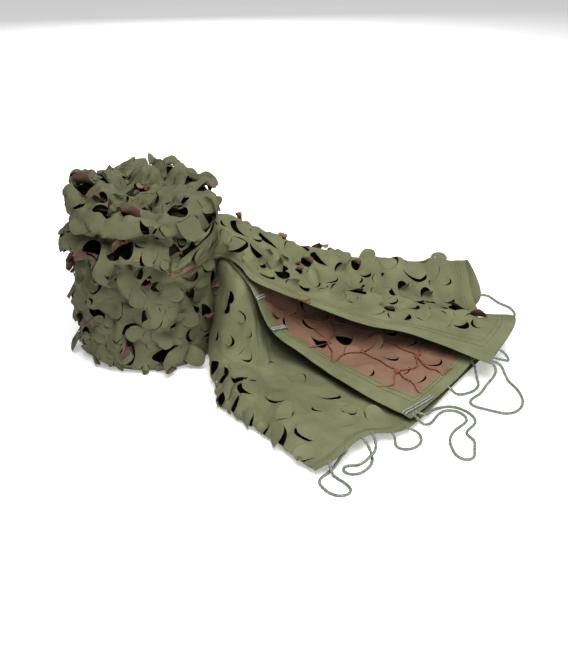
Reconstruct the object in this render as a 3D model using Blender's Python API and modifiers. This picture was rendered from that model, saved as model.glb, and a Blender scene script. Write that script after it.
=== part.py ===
"""Camouflage net: a two-sided leaf-cut cloth with a knotted support net and tie cords, rolled up.

The roll stands on its end at the left. The free end runs off it to the right, turns from upright
to lying, and is folded back and forth in four layers, with the brown side showing between two hems.

Metres, +Z up. The origin is at the middle of the roll's flat underside.
"""

import math
import random

import bmesh
import bpy
import numpy as np
from mathutils import Vector, geometry, noise

# ---- driving sizes ---------------------------------------------------------------------------
CLOTH = 0.0018  # thickness of the coated cloth
HEM_WIDTH = 0.028
HEM_THICKNESS = 0.0034  # the cloth turned over and sewn down
LEAF_LONG = 0.044  # from hinge to tip of a cut leaf
LEAF_WIDE = 0.034
LEAF_GAP = 0.0065  # open crescent round a leaf's tip
LEAVES_APART = 0.045  # least distance between the middles of two leaves
CORD = 0.005  # braided tie cord
TWINE = 0.0026  # knotted support net
CLEAR = 0.0003  # gap left between pieces that touch

ROLL_RADIUS = 0.119  # under the last turn
TURN_PITCH = 0.022  # one turn of the folded net adds this much to the radius
EXIT_ANGLE = math.radians(-20)  # where the last turn leaves the roll
EXIT_SPREAD = math.radians(20)  # the last turn dies away over this angle
TOP_RADIUS = 0.100  # where the rounded shoulder meets the top
SPIRAL_RIDGE = 0.014  # the wound edges stand this far over the grooves between them
LEAF_SINK = 0.005  # depth of the open crescents in the roll's side
PATTERN_START = EXIT_ANGLE + math.radians(7)  # the flat pattern of the roll's side begins here
ROLL_COLUMNS = 44
ROLL_ROWS = (0.012, 0.045, 0.085, 0.125, 0.160, 0.185, 0.205, 0.222, 0.240, 0.256, 0.272, 0.287)
TRIES = 3000  # random places tried for the leaves

GREEN = (0.20, 0.24, 0.13)
TWINE_COLOUR = (0.33, 0.13, 0.07)
CORD_COLOUR = (0.17, 0.19, 0.16)
WRAP_COLOUR = (0.36, 0.38, 0.35)

# The roll's radius over its height, as a share of the turn's own radius.
ROLL_PROFILE = [  # height, share
    (0.000, 0.955),
    (0.012, 0.990),
    (0.050, 1.005),
    (0.150, 0.995),
    (0.205, 1.000),
    (0.222, 0.970),
    (0.240, 1.035),
    (0.256, 1.065),
    (0.272, 1.025),
    (0.287, 0.920),
    (0.298, 0.760),
]

# Folds lying round the roll's upper half: centre height, half width, depth, and how the centre
# wanders up and down as it goes round.
ROLL_FOLDS = [  # height, half width, depth, wander, phase
    (0.262, 0.014, 0.007, 0.008, 0.4),
    (0.232, 0.011, -0.006, 0.010, 2.1),
    (0.212, 0.013, 0.007, 0.012, 4.0),
    (0.186, 0.012, -0.005, 0.016, 5.2),
    (0.110, 0.020, 0.004, 0.030, 1.0),
]

# Fold lines of the free end, in the order in which they follow each other across the cloth, from
# the hem at A to the hem at B. Each runs from the roll to the end, through seven sections.
SECTIONS = ("root", "neck", "shoulder", "hollow", "middle", "late", "end")
ROOT = {  # where each line starts, round the roll: degrees, height, distance from its surface
    "hem_a": (-14.0, 0.184, 0.0014),
    "panel": (-14.0, 0.206, 0.0014),
    "fold_k2": (-12.0, 0.230, 0.0014),
    "under": (-10.5, 0.206, 0.0019),
    "crest": (-13.5, 0.160, 0.0014),
    "skirt": (-19.5, 0.075, 0.0090),
    "fold_f": (-19.5, 0.014, 0.0080),
    "floor": (-12.0, 0.050, 0.0070),
    "floor_back": (-7.0, 0.185, 0.0020),
    "foot_k": (-6.5, 0.240, 0.0014),
    "ridge": (-12.0, 0.266, 0.0040),
    "valley": (-17.5, 0.246, 0.0030),
    "second": (-17.5, 0.218, 0.0030),
    "hem_b": (-17.5, 0.193, 0.0030),
}
FOLD_LINES = {  # millimetres: x, y, z at each section after the root
    "hem_a": [
        (169, -87, 186), (199, -147, 172), (231, -161, 104),
        (297, -179, 54), (390, -275, 34), (467, -340, 22),
    ],
    "panel": [
        (175, -65, 192), (209, -85, 170), (265, -87, 92),
        (367, -97, 46), (473, -153, 32), (561, -195, 24),
    ],
    "fold_k2": [
        (181, -39, 206), (221, -31, 168), (305, -1, 88),
        (425, 5, 46), (555, -5, 28), (647, -41, 22),
    ],
    "under": [
        (179, -64, 176), (209, -79, 152), (259, -85, 70),
        (361, -95, 28), (469, -153, 17), (555, -201, 13),
    ],
    "crest": [
        (171, -112, 170), (195, -128, 158), (235, -145, 50),
        (325, -205, 24), (407, -291, 16), (465, -350, 12),
    ],
    "skirt": [
        (161, -151, 62), (191, -172, 48), (227, -207, 28),
        (285, -287, 28), (337, -365, 27), (383, -411, 26),
    ],
    "fold_f": [
        (126, -150, 13), (143, -245, 13), (181, -315, 13),
        (227, -375, 13), (267, -441, 13), (301, -482, 13),
    ],
    "floor": [
        (183, -100, 3), (227, -110, 2), (279, -120, 2),
        (363, -135, 2), (435, -150, 2), (495, -160, 2),
    ],
    "floor_back": [
        (185, -30, 100), (237, -5, 30), (317, 25, 3),
        (405, 45, 2), (495, 60, 2), (585, 60, 2),
    ],
    "foot_k": [
        (183, 12, 176), (245, 50, 70), (327, 100, 12),
        (429, 155, 9), (547, 185, 9), (655, 200, 9),
    ],
    "ridge": [
        (185, 1, 238), (251, 33, 194), (347, 81, 154),
        (431, 105, 130), (525, 131, 110), (616, 165, 98),
    ],
    "valley": [
        (187, -30, 222), (251, -9, 180), (341, 25, 130),
        (435, 31, 94), (540, 43, 62), (635, 55, 34),
    ],
    "second": [
        (189, -66, 210), (251, -52, 170), (337, -31, 122),
        (441, -31, 94), (561, -31, 74), (685, -19, 60),
    ],
    "hem_b": [
        (177, -98, 196), (203, -145, 186), (287, -113, 134),
        (385, -115, 94), (495, -119, 68), (620, -175, 40),
    ],
}
HAIRPINS = {"fold_k2": (0.0035, 0.0050), "fold_f": (0.0050, 0.0115)}  # fold radius at root and end

# Parts of the cloth whose leaves show: from one fold line to another, and how far leaf tips rise.
LEAFY = [  # from, to, tip rise
    ("hem_a", "panel", 0.0),
    ("crest", "skirt", 0.007),
    ("skirt", "fold_f", 0.006),
    ("foot_k", "ridge", 0.006),
    ("ridge", "valley", 0.010),
    ("valley", "second", 0.010),
    ("second", "hem_b", 0.010),
]

# Tie cords: from one place on the end hem to another, with the route between. A place on the hem
# is a fold line and the share of the way to the next line. Millimetres, heights over the floor.
TIE_CORDS = {
    "tie_cord_f": {
        "start": ("skirt", 0.40),
        "route": [
            (346, -458, 18), (334, -472, 6), (322, -488, 3), (312, -500, 3), (310, -514, 3),
            (317, -531, 3), (328, -546, 3), (341, -552, 3), (354, -547, 3), (359, -535, 3),
            (354, -520, 3), (343, -505, 3), (332, -492, 4), (327, -484, 15),
        ],
        "end": ("skirt", 0.78),
    },
    "tie_cord_e": {
        "start": ("skirt", 0.02),
        "route": [
            (394, -428, 12), (397, -440, 4), (396, -453, 3), (388, -470, 3), (375, -485, 3),
            (361, -489, 3), (351, -482, 3), (348, -472, 3), (353, -463, 3), (363, -461, 3),
            (374, -464, 5), (385, -459, 10), (394, -447, 13), (401, -434, 12), (404, -420, 16),
        ],
        "end": ("crest", 0.80),
    },
    "tie_cord_d": {
        "start": ("crest", 0.36),
        "route": [
            (438, -388, 7), (437, -397, 3), (442, -406, 3), (452, -411, 3), (463, -409, 3),
            (473, -400, 3), (480, -388, 3), (482, -374, 4), (478, -364, 8),
        ],
        "end": ("crest", 0.05),
    },
    "tie_cord_a": {
        "start": ("hem_a", 0.03),
        "route": [
            (487, -345, 12), (501, -329, 6), (512, -305, 3), (522, -287, 3), (534, -278, 3),
            (546, -279, 3), (557, -287, 3), (564, -300, 3), (565, -312, 3), (558, -326, 3),
            (545, -341, 3), (534, -360, 3), (528, -382, 3), (529, -406, 3), (533, -428, 3),
            (541, -441, 3), (551, -444, 3), (560, -438, 3), (564, -423, 3), (566, -403, 3),
            (569, -384, 3), (564, -371, 3), (558, -361, 3), (561, -348, 3), (573, -332, 3),
            (579, -316, 3), (577, -300, 3), (569, -284, 3), (558, -272, 3), (546, -265, 3),
            (533, -265, 3), (520, -274, 5), (509, -290, 10), (499, -310, 15), (494, -323, 19),
        ],
        "end": ("hem_a", 0.13),
    },
    "tie_cord_b": {
        "start": ("second", 0.94),
        "route": [
            (642, -164, 32), (650, -163, 14), (657, -172, 3), (664, -189, 3), (669, -210, 3),
            (671, -234, 3), (668, -256, 3), (660, -274, 3), (647, -287, 3), (634, -290, 3),
            (618, -283, 3), (601, -274, 3), (587, -266, 3), (578, -255, 3), (579, -243, 3),
            (588, -230, 3), (599, -218, 3), (607, -203, 3), (613, -194, 8), (624, -192, 20),
            (631, -184, 33),
        ],
        "end": ("second", 0.97),
    },
    "tie_cord_c": {
        "start": ("panel", 0.30),
        "route": [
            (600, -163, 8), (602, -178, 3), (598, -194, 3), (588, -208, 3), (575, -217, 3),
            (561, -224, 5), (552, -236, 14),
        ],
        "end": ("hem_a", 0.78),
    },
    "tie_cord_g": {
        "start": ("second", 0.88),
        "route": [
            (650, -152, 36), (660, -142, 30), (656, -130, 36),
        ],
        "end": ("second", 0.73),
    },
    "tie_cord_back": {
        "start": ("foot_k", 0.0),
        "route": [
            (672, 210, 3), (680, 193, 3), (690, 171, 3), (704, 156, 3), (712, 134, 3),
            (711, 110, 4), (701, 86, 10), (686, 62, 22), (671, 44, 34),
        ],
        "end": ("valley", 0.30),
    },
}
# Lashings laid over the hem at A: a section, the share of the way to the next, the gap under it.
LASHINGS = {
    "lashing_1": ("shoulder", 0.25, 0.0003),
    "lashing_2": ("hollow", 0.05, 0.0006),
    "lashing_3": ("late", 0.86, 0.0006),
}


# ---- small tools -----------------------------------------------------------------------------
def clear_scene():
    for thing in list(bpy.data.objects):
        bpy.data.objects.remove(thing, do_unlink=True)


def material(name, colour, roughness=0.8):
    made = bpy.data.materials.new(name)
    made.use_nodes = True
    shader = made.node_tree.nodes["Principled BSDF"]
    shader.inputs["Base Color"].default_value = (*colour, 1.0)
    shader.inputs["Roughness"].default_value = roughness
    return made


def add_object(name, data, finish, home):
    made = bpy.data.objects.new(name, data)
    data.materials.append(finish)
    home.objects.link(made)
    return made


def curve_through(knots, values, at):
    """Smooth curve through values at the given knots, read at other places. Works on rows of points."""
    knots = np.asarray(knots, float)
    values = np.asarray(values, float)
    steps = np.diff(knots)
    wide = steps.reshape(-1, *([1] * (values.ndim - 1)))
    slopes = np.diff(values, axis=0) / wide
    tangents = np.empty_like(values)
    tangents[0], tangents[-1] = slopes[0], slopes[-1]
    tangents[1:-1] = (wide[1:] * slopes[:-1] + wide[:-1] * slopes[1:]) / (wide[1:] + wide[:-1])
    at = np.clip(np.atleast_1d(at), knots[0], knots[-1])
    cell = np.clip(np.searchsorted(knots, at, side="right") - 1, 0, len(knots) - 2)
    shape = (-1, *([1] * (values.ndim - 1)))
    step = steps[cell].reshape(shape)
    t = ((at - knots[cell]) / steps[cell]).reshape(shape)
    return (
        (2 * t**3 - 3 * t**2 + 1) * values[cell]
        + (t**3 - 2 * t**2 + t) * step * tangents[cell]
        + (3 * t**2 - 2 * t**3) * values[cell + 1]
        + (t**3 - t**2) * step * tangents[cell + 1]
    )


def unit(vectors):
    length = np.linalg.norm(vectors, axis=-1, keepdims=True)
    return vectors / np.maximum(length, 1e-12)


def smooth_step(x):
    x = min(max(x, 0.0), 1.0)
    return x * x * (3 - 2 * x)


def inside(point, outline):
    """Whether a flat point lies inside a closed outline."""
    x, y = point
    found = False
    for (ax, ay), (bx, by) in zip(outline, outline[1:] + outline[:1]):
        if (ay > y) != (by > y) and x < ax + (y - ay) * (bx - ax) / (by - ay):
            found = not found
    return found


# ---- the roll --------------------------------------------------------------------------------
def turn_radius(angle):
    """Radius of the last turn: it grows all the way round, and dies away past the exit."""
    past = (angle - EXIT_ANGLE) % (2 * math.pi)
    if past < EXIT_SPREAD:
        return ROLL_RADIUS + TURN_PITCH * (1 - smooth_step(past / EXIT_SPREAD))
    return ROLL_RADIUS + TURN_PITCH * (past - EXIT_SPREAD) / (2 * math.pi - EXIT_SPREAD)


def near_exit(angle):
    """1 beside the place where the cloth leaves the roll, 0 well away from it."""
    off = math.atan2(math.sin(angle - EXIT_ANGLE - 0.12), math.cos(angle - EXIT_ANGLE - 0.12))
    return 1 - smooth_step((abs(off) - 0.20) / 0.45)


def roll_radius(angle, height):
    heights, shares = zip(*ROLL_PROFILE)
    share = float(curve_through(heights, shares, height)[0])
    calm = near_exit(angle)
    if height < 0.28:
        share += (min(share, 1.0) * 0.5 + 0.5 - share) * calm
    folds = 0.0
    for centre, half, depth, wander, phase in ROLL_FOLDS:
        middle = centre + wander * math.sin(angle + phase) * math.cos(2 * angle - phase)
        folds += depth * math.exp(-(((height - middle) / half) ** 2))
    lump = 0.005 * noise.noise(Vector((2.2 * math.cos(angle), 2.2 * math.sin(angle), 9 * height)))
    edge = smooth_step(height / 0.02)
    return turn_radius(angle) * share + (folds + lump) * edge * (1 - calm)


def roll_height(height, angle):
    """The shoulder stands higher at the back and lower at the front left."""
    tilt = smooth_step((height - 0.20) / 0.09) * (1 - near_exit(angle))
    return height + 0.010 * tilt * math.sin(angle - 0.5)


def roll_point(angle, height, relief=0.0):
    radius = roll_radius(angle, height) + relief
    return (radius * math.cos(angle), radius * math.sin(angle), roll_height(height, angle))


def leaf_outline(long, wide):
    """A cut leaf from hinge end to hinge end, round its tip. x runs from hinge to tip."""
    shape = ((0.0, -0.40), (0.45, -0.50), (0.88, -0.28), (1.0, 0.08), (0.80, 0.40), (0.35, 0.50), (0.0, 0.40))
    return [(x * long, y * wide) for x, y in shape]


def leaf_edge(long, wide, gap, every=1):
    """The leaf's own edge inside its cut, against the outline's order, and each point's rise, 0 to 1."""
    edge = [(x * (1 - gap / long), y * (1 - gap / wide)) for x, y in leaf_outline(long, wide)[-2:0:-1]]
    return [(p, (p[0] / long) ** 1.3) for p in edge[::every]]


def roll_leaves(around, tall):
    """Leaves scattered over the flat pattern of the roll's side, clear of where the cloth leaves it."""
    leaves, centres = [], []
    for _ in range(TRIES):
        x, y = random.uniform(0.02, around - 0.02), random.uniform(0.02, tall)
        turn, size = random.uniform(0, 2 * math.pi), random.uniform(0.85, 1.15)
        if near_exit(x / around * 2 * math.pi + PATTERN_START) > 0.02:
            continue
        if any(math.hypot(x - a, y - b) < LEAVES_APART for a, b in centres):
            continue

        def laid(p):
            a, b = (p[0] - 0.5 * LEAF_LONG) * size, p[1] * size
            return (x + a * math.cos(turn) - b * math.sin(turn), y + a * math.sin(turn) + b * math.cos(turn))

        outline = [laid(p) for p in leaf_outline(LEAF_LONG, LEAF_WIDE)]
        if min(p[1] for p in outline) < 0.005 or max(p[1] for p in outline) > tall - 0.008:
            continue
        edge = [(laid(p), rise) for p, rise in leaf_edge(LEAF_LONG, LEAF_WIDE, LEAF_GAP)]
        centres.append((x, y))
        leaves.append((outline, edge))
    return leaves


def roll_side():
    """Flat pattern of the roll's side: angle and height of each point, how far it stands out, faces."""
    random.seed(11)
    around = 2 * math.pi * (ROLL_RADIUS + TURN_PITCH / 2)
    tall = ROLL_PROFILE[-1][0]
    points, edges, relief = [], [], []

    def add(x, y, out=0.0):
        points.append(Vector((x, y)))
        relief.append(out)
        return len(points) - 1

    leaves = roll_leaves(around, tall)
    for outline, edge in leaves:
        rise = random.uniform(0.005, 0.012)
        first = len(points)
        for p in outline:
            add(*p, 0.0 if p in (outline[0], outline[-1]) else -LEAF_SINK)
        for p, share in edge:
            add(*p, rise * share)
        ring = list(range(first, len(points))) + [first]
        edges += list(zip(ring, ring[1:]))
    holes = [outline for outline, _ in leaves]
    spots = [p for outline, edge in leaves for p in outline + [q for q, _ in edge]]
    rows = [0.0, *ROLL_ROWS, tall]
    for j, y in enumerate(rows):
        border = y in (0.0, tall)
        for i in range(ROLL_COLUMNS + 1):
            x = around * i / ROLL_COLUMNS
            if not border and i not in (0, ROLL_COLUMNS):
                x += around / ROLL_COLUMNS * 0.5 * (j % 2)
                if x > around - 0.006 or any(inside((x, y), hole) for hole in holes):
                    continue
                if any(math.hypot(x - a, y - b) < 0.007 for a, b in spots):
                    continue
            add(x, y)
    flat, _, faces, origin, _, _ = geometry.delaunay_2d_cdt(points, edges, [], 0, 1e-7)
    out = [max((relief[k] for k in ids), key=abs, default=0.0) for ids in origin]
    return [(p.x / around * 2 * math.pi + PATTERN_START, p.y, r) for p, r in zip(flat, out)], faces


def top_height(x, y):
    """Height of the roll's top: wound edges in a spiral, with lumps, highest at the back right."""
    radius, angle = math.hypot(x, y), math.atan2(y, x)
    turn = (radius - TURN_PITCH * angle / (2 * math.pi)) / TURN_PITCH
    ridge = 0.5 + 0.5 * math.cos(2 * math.pi * turn)
    fade = smooth_step(radius / 0.02) * smooth_step((TOP_RADIUS - radius) / 0.010)
    lump = 0.012 * noise.noise(Vector((20 * x, 20 * y, 3.0)))
    rise = 0.016 * smooth_step(1 - math.hypot(x - 0.030, y - 0.045) / 0.085)
    loose = (lump + rise) * smooth_step((TOP_RADIUS - radius) / 0.03)
    dome = 0.006 * (1 - (radius / TOP_RADIUS) ** 2)
    return SPIRAL_RIDGE * (ridge - 0.35) * fade + loose + dome


def build_roll(home, finish):
    spots, faces = roll_side()
    mesh = bmesh.new()
    verts = [mesh.verts.new(roll_point(*spot)) for spot in spots]
    for face in faces:
        mesh.faces.new([verts[n] for n in face])
    # the top, from its rim inwards
    tall = ROLL_PROFILE[-1][0]
    columns = ROLL_COLUMNS
    rim = [roll_point(PATTERN_START + 2 * math.pi * n / columns, tall) for n in range(columns)]
    centre_rim = sum(p[2] for p in rim) / columns
    inner = []
    turns = int(TOP_RADIUS / TURN_PITCH)
    for half_turn in range(2 * turns):
        for n in range(18):
            angle = 2 * math.pi * n / 18
            radius = TURN_PITCH * (half_turn / 2 + angle / (2 * math.pi))
            if 0.004 < radius < TOP_RADIUS - 0.008:
                inner.append((radius * math.cos(angle), radius * math.sin(angle)))
    flat = [Vector(p[:2]) for p in rim] + [Vector(p) for p in inner]
    ring = [(n, (n + 1) % columns) for n in range(columns)]
    found, _, top_faces, origin, _, _ = geometry.delaunay_2d_cdt(flat, ring, [], 1, 1e-7)
    top = []
    for p, ids in zip(found, origin):
        on_rim = [k for k in ids if k < columns]
        if on_rim:
            top.append(mesh.verts.new(rim[on_rim[0]]))
            continue
        nearest = min(rim, key=lambda q: (q[0] - p.x) ** 2 + (q[1] - p.y) ** 2)
        share = smooth_step(math.hypot(*p) / TOP_RADIUS)
        top.append(mesh.verts.new((p.x, p.y, nearest[2] * share + centre_rim * (1 - share) + top_height(*p))))
    for face in top_faces:
        mesh.faces.new([top[n] for n in face])
    bmesh.ops.remove_doubles(mesh, verts=mesh.verts, dist=1e-5)
    # the flat underside
    open_edges = [edge for edge in mesh.edges if edge.is_boundary]
    bmesh.ops.contextual_create(mesh, geom=open_edges)
    bmesh.ops.recalc_face_normals(mesh, faces=mesh.faces)
    data = bpy.data.meshes.new("net_roll")
    mesh.to_mesh(data)
    mesh.free()
    return add_object("net_roll", data, finish, home)


# ---- the free end ----------------------------------------------------------------------------
class DrapedCloth:
    """The cloth of the free end. u runs across the folds and v from the roll to the end, in metres."""

    def __init__(self):
        self.names = list(FOLD_LINES)
        lines = np.array([self.fold_line(name) for name in self.names])
        lines, self.row_of = self.with_fold_loops(lines)
        along = np.linalg.norm(np.diff(lines, axis=1), axis=2).mean(axis=0)
        across = np.linalg.norm(np.diff(lines, axis=0), axis=2).mean(axis=1)
        self.v_knots = np.concatenate([[0], np.cumsum(along)])
        self.u_knots = np.concatenate([[0], np.cumsum(across)])
        self.length, self.width = self.v_knots[-1], self.u_knots[-1]
        self.v_grid = np.linspace(0, self.length, 100)
        self.u_grid = np.linspace(0, self.width, 700)
        rows = curve_through(self.v_knots, lines.transpose(1, 0, 2), self.v_grid)
        self.grid = curve_through(self.u_knots, rows.transpose(1, 0, 2), self.u_grid)
        self.grid[:, :, 2] = np.maximum(self.grid[:, :, 2], HEM_THICKNESS / 2 + CLEAR)
        self.du = np.gradient(self.grid, self.u_grid, axis=0)
        self.dv = np.gradient(self.grid, self.v_grid, axis=1)
        self.normals = unit(np.cross(self.du, self.dv))

    def fold_line(self, name):
        degrees, height, apart = ROOT[name]
        angle = math.radians(degrees)
        radius = roll_radius(angle, height) + apart
        root = (radius * math.cos(angle), radius * math.sin(angle), height)
        return [root] + [tuple(c / 1000 for c in point) for point in FOLD_LINES[name]]

    def with_fold_loops(self, lines):
        """Adds a line on each side of every hairpin, so that its layers part by the fold's radius."""
        rows, row_of = [], {}
        share = np.linspace(0, 1, lines.shape[1])[:, None]
        for n, name in enumerate(self.names):
            if name in HAIRPINS:
                at_root, at_end = HAIRPINS[name]
                radius = at_root + (at_end - at_root) * share
                inward = unit((lines[n - 1] + lines[n + 1]) / 2 - lines[n])
                apart = lines[n - 1] - lines[n + 1]
                apart = unit(apart - inward * (apart * inward).sum(axis=1, keepdims=True))
                rows.append(lines[n] + (inward + apart) * radius)
                row_of[name] = len(rows)
                rows.append(lines[n])
                rows.append(lines[n] + (inward - apart) * radius)
            else:
                row_of[name] = len(rows)
                rows.append(lines[n])
        return np.array(rows), row_of

    def u_at(self, name, share=0.0):
        """Place across the cloth of a fold line, or of a share of the way to the next one."""
        here = self.u_knots[self.row_of[name]]
        after = self.names.index(name) + 1
        if after == len(self.names):
            return here
        return here + (self.u_knots[self.row_of[self.names[after]]] - here) * share

    def read(self, table, u, v):
        iu = min(max(u / self.width * (len(self.u_grid) - 1), 0), len(self.u_grid) - 1.001)
        iv = min(max(v / self.length * (len(self.v_grid) - 1), 0), len(self.v_grid) - 1.001)
        a, b = int(iu), int(iv)
        s, t = iu - a, iv - b
        return (
            table[a, b] * (1 - s) * (1 - t)
            + table[a + 1, b] * s * (1 - t)
            + table[a, b + 1] * (1 - s) * t
            + table[a + 1, b + 1] * s * t
        )

    def place(self, u, v, rise=0.0):
        """Point of the cloth, raised on its green side."""
        return Vector(self.read(self.grid, u, v) + rise * unit(self.read(self.normals, u, v)))

    def step(self, u, v, turn, x, y):
        """Place (u, v) reached by going a real distance x, y over the cloth, turned by an angle."""
        along_u, along_v = self.read(self.du, u, v), self.read(self.dv, u, v)
        first = unit(along_u)
        second = unit(along_v - first * along_v.dot(first))
        a = x * math.cos(turn) - y * math.sin(turn)
        b = x * math.sin(turn) + y * math.cos(turn)
        dv = b / along_v.dot(second)
        return u + (a - dv * along_v.dot(first)) / np.linalg.norm(along_u), v + dv


def cut_leaves(cloth):
    """Leaf cuts scattered over the parts that show: (outline, edge, tip rise) in flat places."""
    random.seed(5)
    leaves, centres = [], []
    for first, last, rise in LEAFY:
        u0, u1 = cloth.u_at(first), cloth.u_at(last)
        if first == "hem_a":
            u0 += HEM_WIDTH
        if last == "hem_b":
            u1 -= HEM_WIDTH
        for _ in range(TRIES // 2):
            u = random.uniform(u0, u1)
            v = random.uniform(0.05, cloth.length - HEM_WIDTH)
            turn = random.uniform(0, 2 * math.pi)
            size = random.uniform(0.80, 1.10)
            here = cloth.place(u, v)
            if any((here - other).length < LEAVES_APART for other in centres):
                continue
            around = [
                cloth.step(u, v, turn, (x - 0.5 * LEAF_LONG) * size, y * size)
                for x, y in leaf_outline(LEAF_LONG, LEAF_WIDE)
            ]
            edge = [
                (cloth.step(u, v, turn, (x - 0.5 * LEAF_LONG) * size, y * size), share)
                for (x, y), share in leaf_edge(LEAF_LONG, LEAF_WIDE, LEAF_GAP, every=2)
            ]
            low_u, high_u = min(p[0] for p in around), max(p[0] for p in around)
            low_v, high_v = min(p[1] for p in around), max(p[1] for p in around)
            if low_u < u0 - 0.010 * (first != "hem_a") or high_u > u1 + 0.010 * (last != "hem_b"):
                continue
            if low_u < HEM_WIDTH + 0.004 or high_u > cloth.width - HEM_WIDTH - 0.004:
                continue
            if low_v < 0.020 or high_v > cloth.length - HEM_WIDTH - 0.005:
                continue
            if high_u - low_u > 0.09 or high_v - low_v > 0.09:
                continue
            centres.append(here)
            leaves.append((around, edge, rise * random.uniform(0.4, 1.0)))
    return leaves


def build_free_end(home, finish, cloth):
    leaves = cut_leaves(cloth)
    points, edges, lift = [], [], []

    def add(u, v, rise=0.0):
        points.append(Vector((u, v)))
        lift.append(rise)
        return len(points) - 1

    holes = []
    for outline, edge, rise in leaves:
        first = len(points)
        for p in outline:
            add(*p)
        for p, share in edge:
            add(*p, rise * share)
        ring = list(range(first, len(points))) + [first]
        edges += list(zip(ring, ring[1:]))
        holes.append(outline + [p for p, _ in edge])
    spots = [p for hole in holes for p in hole]
    # the folds need close lines, the flat stretches only a few
    across = sorted(set(np.round(cloth.u_knots, 5)))
    lines = []
    for a, b in zip(across, across[1:]):
        parts = max(1, round((b - a) / 0.034))
        lines += [a + (b - a) * n / parts for n in range(parts)]
    lines.append(cloth.width)
    hem_lines = [HEM_WIDTH, HEM_WIDTH + 0.003, cloth.width - HEM_WIDTH - 0.003, cloth.width - HEM_WIDTH]
    lines = [u for u in lines if all(abs(u - h) > 0.009 for h in hem_lines)] + hem_lines
    end_lines = [cloth.length - HEM_WIDTH - 0.003, cloth.length - HEM_WIDTH, cloth.length]
    stations = list(np.linspace(0, cloth.length - HEM_WIDTH - 0.030, 17)) + end_lines
    for u in sorted(lines):
        for v in stations:
            border = u in (0, cloth.width) or v in (0, cloth.length) or u in hem_lines or v in end_lines
            if not border:
                if any(math.hypot(u - a, v - b) < 0.009 for a, b in spots):
                    continue
                if any(inside((u, v), hole) for hole in holes):
                    continue
            add(u, v)
    for cord in TIE_CORDS.values():
        for place in (cord["start"], cord["end"]):
            for aside in (-0.7 * CORD, 0.7 * CORD):
                add(max(cloth.u_at(*place), CORD) + aside, cloth.length)
    flat, _, faces, origin, _, _ = geometry.delaunay_2d_cdt(points, edges, [], 0, 1e-7)
    mesh = bmesh.new()
    verts = []
    for p, ids in zip(flat, origin):
        rise = max((lift[k] for k in ids), default=0.0)
        verts.append(mesh.verts.new(cloth.place(p.x, p.y, rise)))
    for face in faces:
        middle = sum((flat[n] for n in face), Vector((0, 0))) / len(face)
        if any(inside(middle, hole) for hole in holes):
            continue
        mesh.faces.new([verts[n] for n in face])
    places = [tuple(p) for p, vertex in zip(flat, verts) if vertex.link_faces]
    bmesh.ops.delete(mesh, geom=[v for v in verts if not v.link_faces], context="VERTS")
    data = bpy.data.meshes.new("net_free_end")
    mesh.to_mesh(data)
    mesh.free()
    made = add_object("net_free_end", data, finish, home)
    thick = made.vertex_groups.new(name="hem")
    solid = made.modifiers.new("cloth", "SOLIDIFY")
    for vertex, (u, v) in zip(data.vertices, places):
        in_hem = min(u, cloth.width - u, cloth.length - v) < HEM_WIDTH + 1e-4
        thick.add([vertex.index], 1.0 if in_hem else CLOTH / HEM_THICKNESS, "REPLACE")
    solid.thickness = HEM_THICKNESS
    solid.offset = 0.0
    solid.vertex_group = "hem"
    return made, len(leaves)


def smooth_route(points, spacing):
    """Points at an even spacing along a smooth curve through the given ones."""
    points = np.array([tuple(p) for p in points])
    knots = np.concatenate([[0], np.cumsum(np.linalg.norm(np.diff(points, axis=0), axis=1) ** 0.75)])
    fine = curve_through(knots, points, np.linspace(0, knots[-1], 40 * len(points)))
    length = np.concatenate([[0], np.cumsum(np.linalg.norm(np.diff(fine, axis=0), axis=1))])
    count = max(3, round(length[-1] / spacing))
    at = np.linspace(0, length[-1], count + 1)
    at = np.concatenate([at[:1], [0.3 * spacing], at[1:-1], [length[-1] - 0.3 * spacing], at[-1:]])
    return [tuple(np.interp(a, length, fine[:, k]) for k in range(3)) for a in at]


def tube(name, points, diameter, home, finish):
    data = bpy.data.curves.new(name, "CURVE")
    data.dimensions = "3D"
    data.bevel_depth = diameter / 2
    data.bevel_resolution = 2
    data.use_fill_caps = True
    line = data.splines.new("POLY")
    line.points.add(len(points) - 1)
    for spot, place in zip(line.points, points):
        spot.co = (*place, 1.0)
    return add_object(name, data, finish, home)


def hem_exit(cloth, place):
    """A point on the end hem, the one where a cord meets it, and the way out of it."""
    u = max(cloth.u_at(*place), CORD)
    edge = unit(cloth.read(cloth.du, u, cloth.length))
    along = cloth.read(cloth.dv, u, cloth.length)
    return cloth.place(u, cloth.length), Vector(unit(along - edge * along.dot(edge)))


def build_tie_cords(home, finish, cloth):
    for name, cord in TIE_CORDS.items():
        start, start_out = hem_exit(cloth, cord["start"])
        end, end_out = hem_exit(cloth, cord["end"])
        meet, straight = 2.5 * CLEAR, 0.008
        route = [start + start_out * meet, start + start_out * straight]
        route += [Vector(p) / 1000 for p in cord["route"]]
        route += [end + end_out * straight, end + end_out * meet]
        tube(name, smooth_route(route, 2.4 * CORD), CORD, home, finish)


def v_at(cloth, section, share=0.0):
    here = SECTIONS.index(section)
    return cloth.v_knots[here] + (cloth.v_knots[here + 1] - cloth.v_knots[here]) * share


def build_lashings(home, finish, cloth):
    """Short braided lashings over the hem: each lies on the brown side and turns down past the edge."""
    for name, (section, share, gap) in LASHINGS.items():
        over = HEM_THICKNESS / 2 + CORD / 2 + gap
        v = v_at(cloth, section, share)
        route = [cloth.place(u, v + 0.25 * u, -over) for u in (HEM_WIDTH + 0.006, 0.020, 0.008, 0.0)]
        edge_out = -Vector(unit(cloth.read(cloth.du, 0.0, v)))
        route.append(cloth.place(0.0, v, -0.4 * over) + edge_out * 0.9 * over)
        tube(name, smooth_route(route, 0.005), CORD, home, finish)


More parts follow.
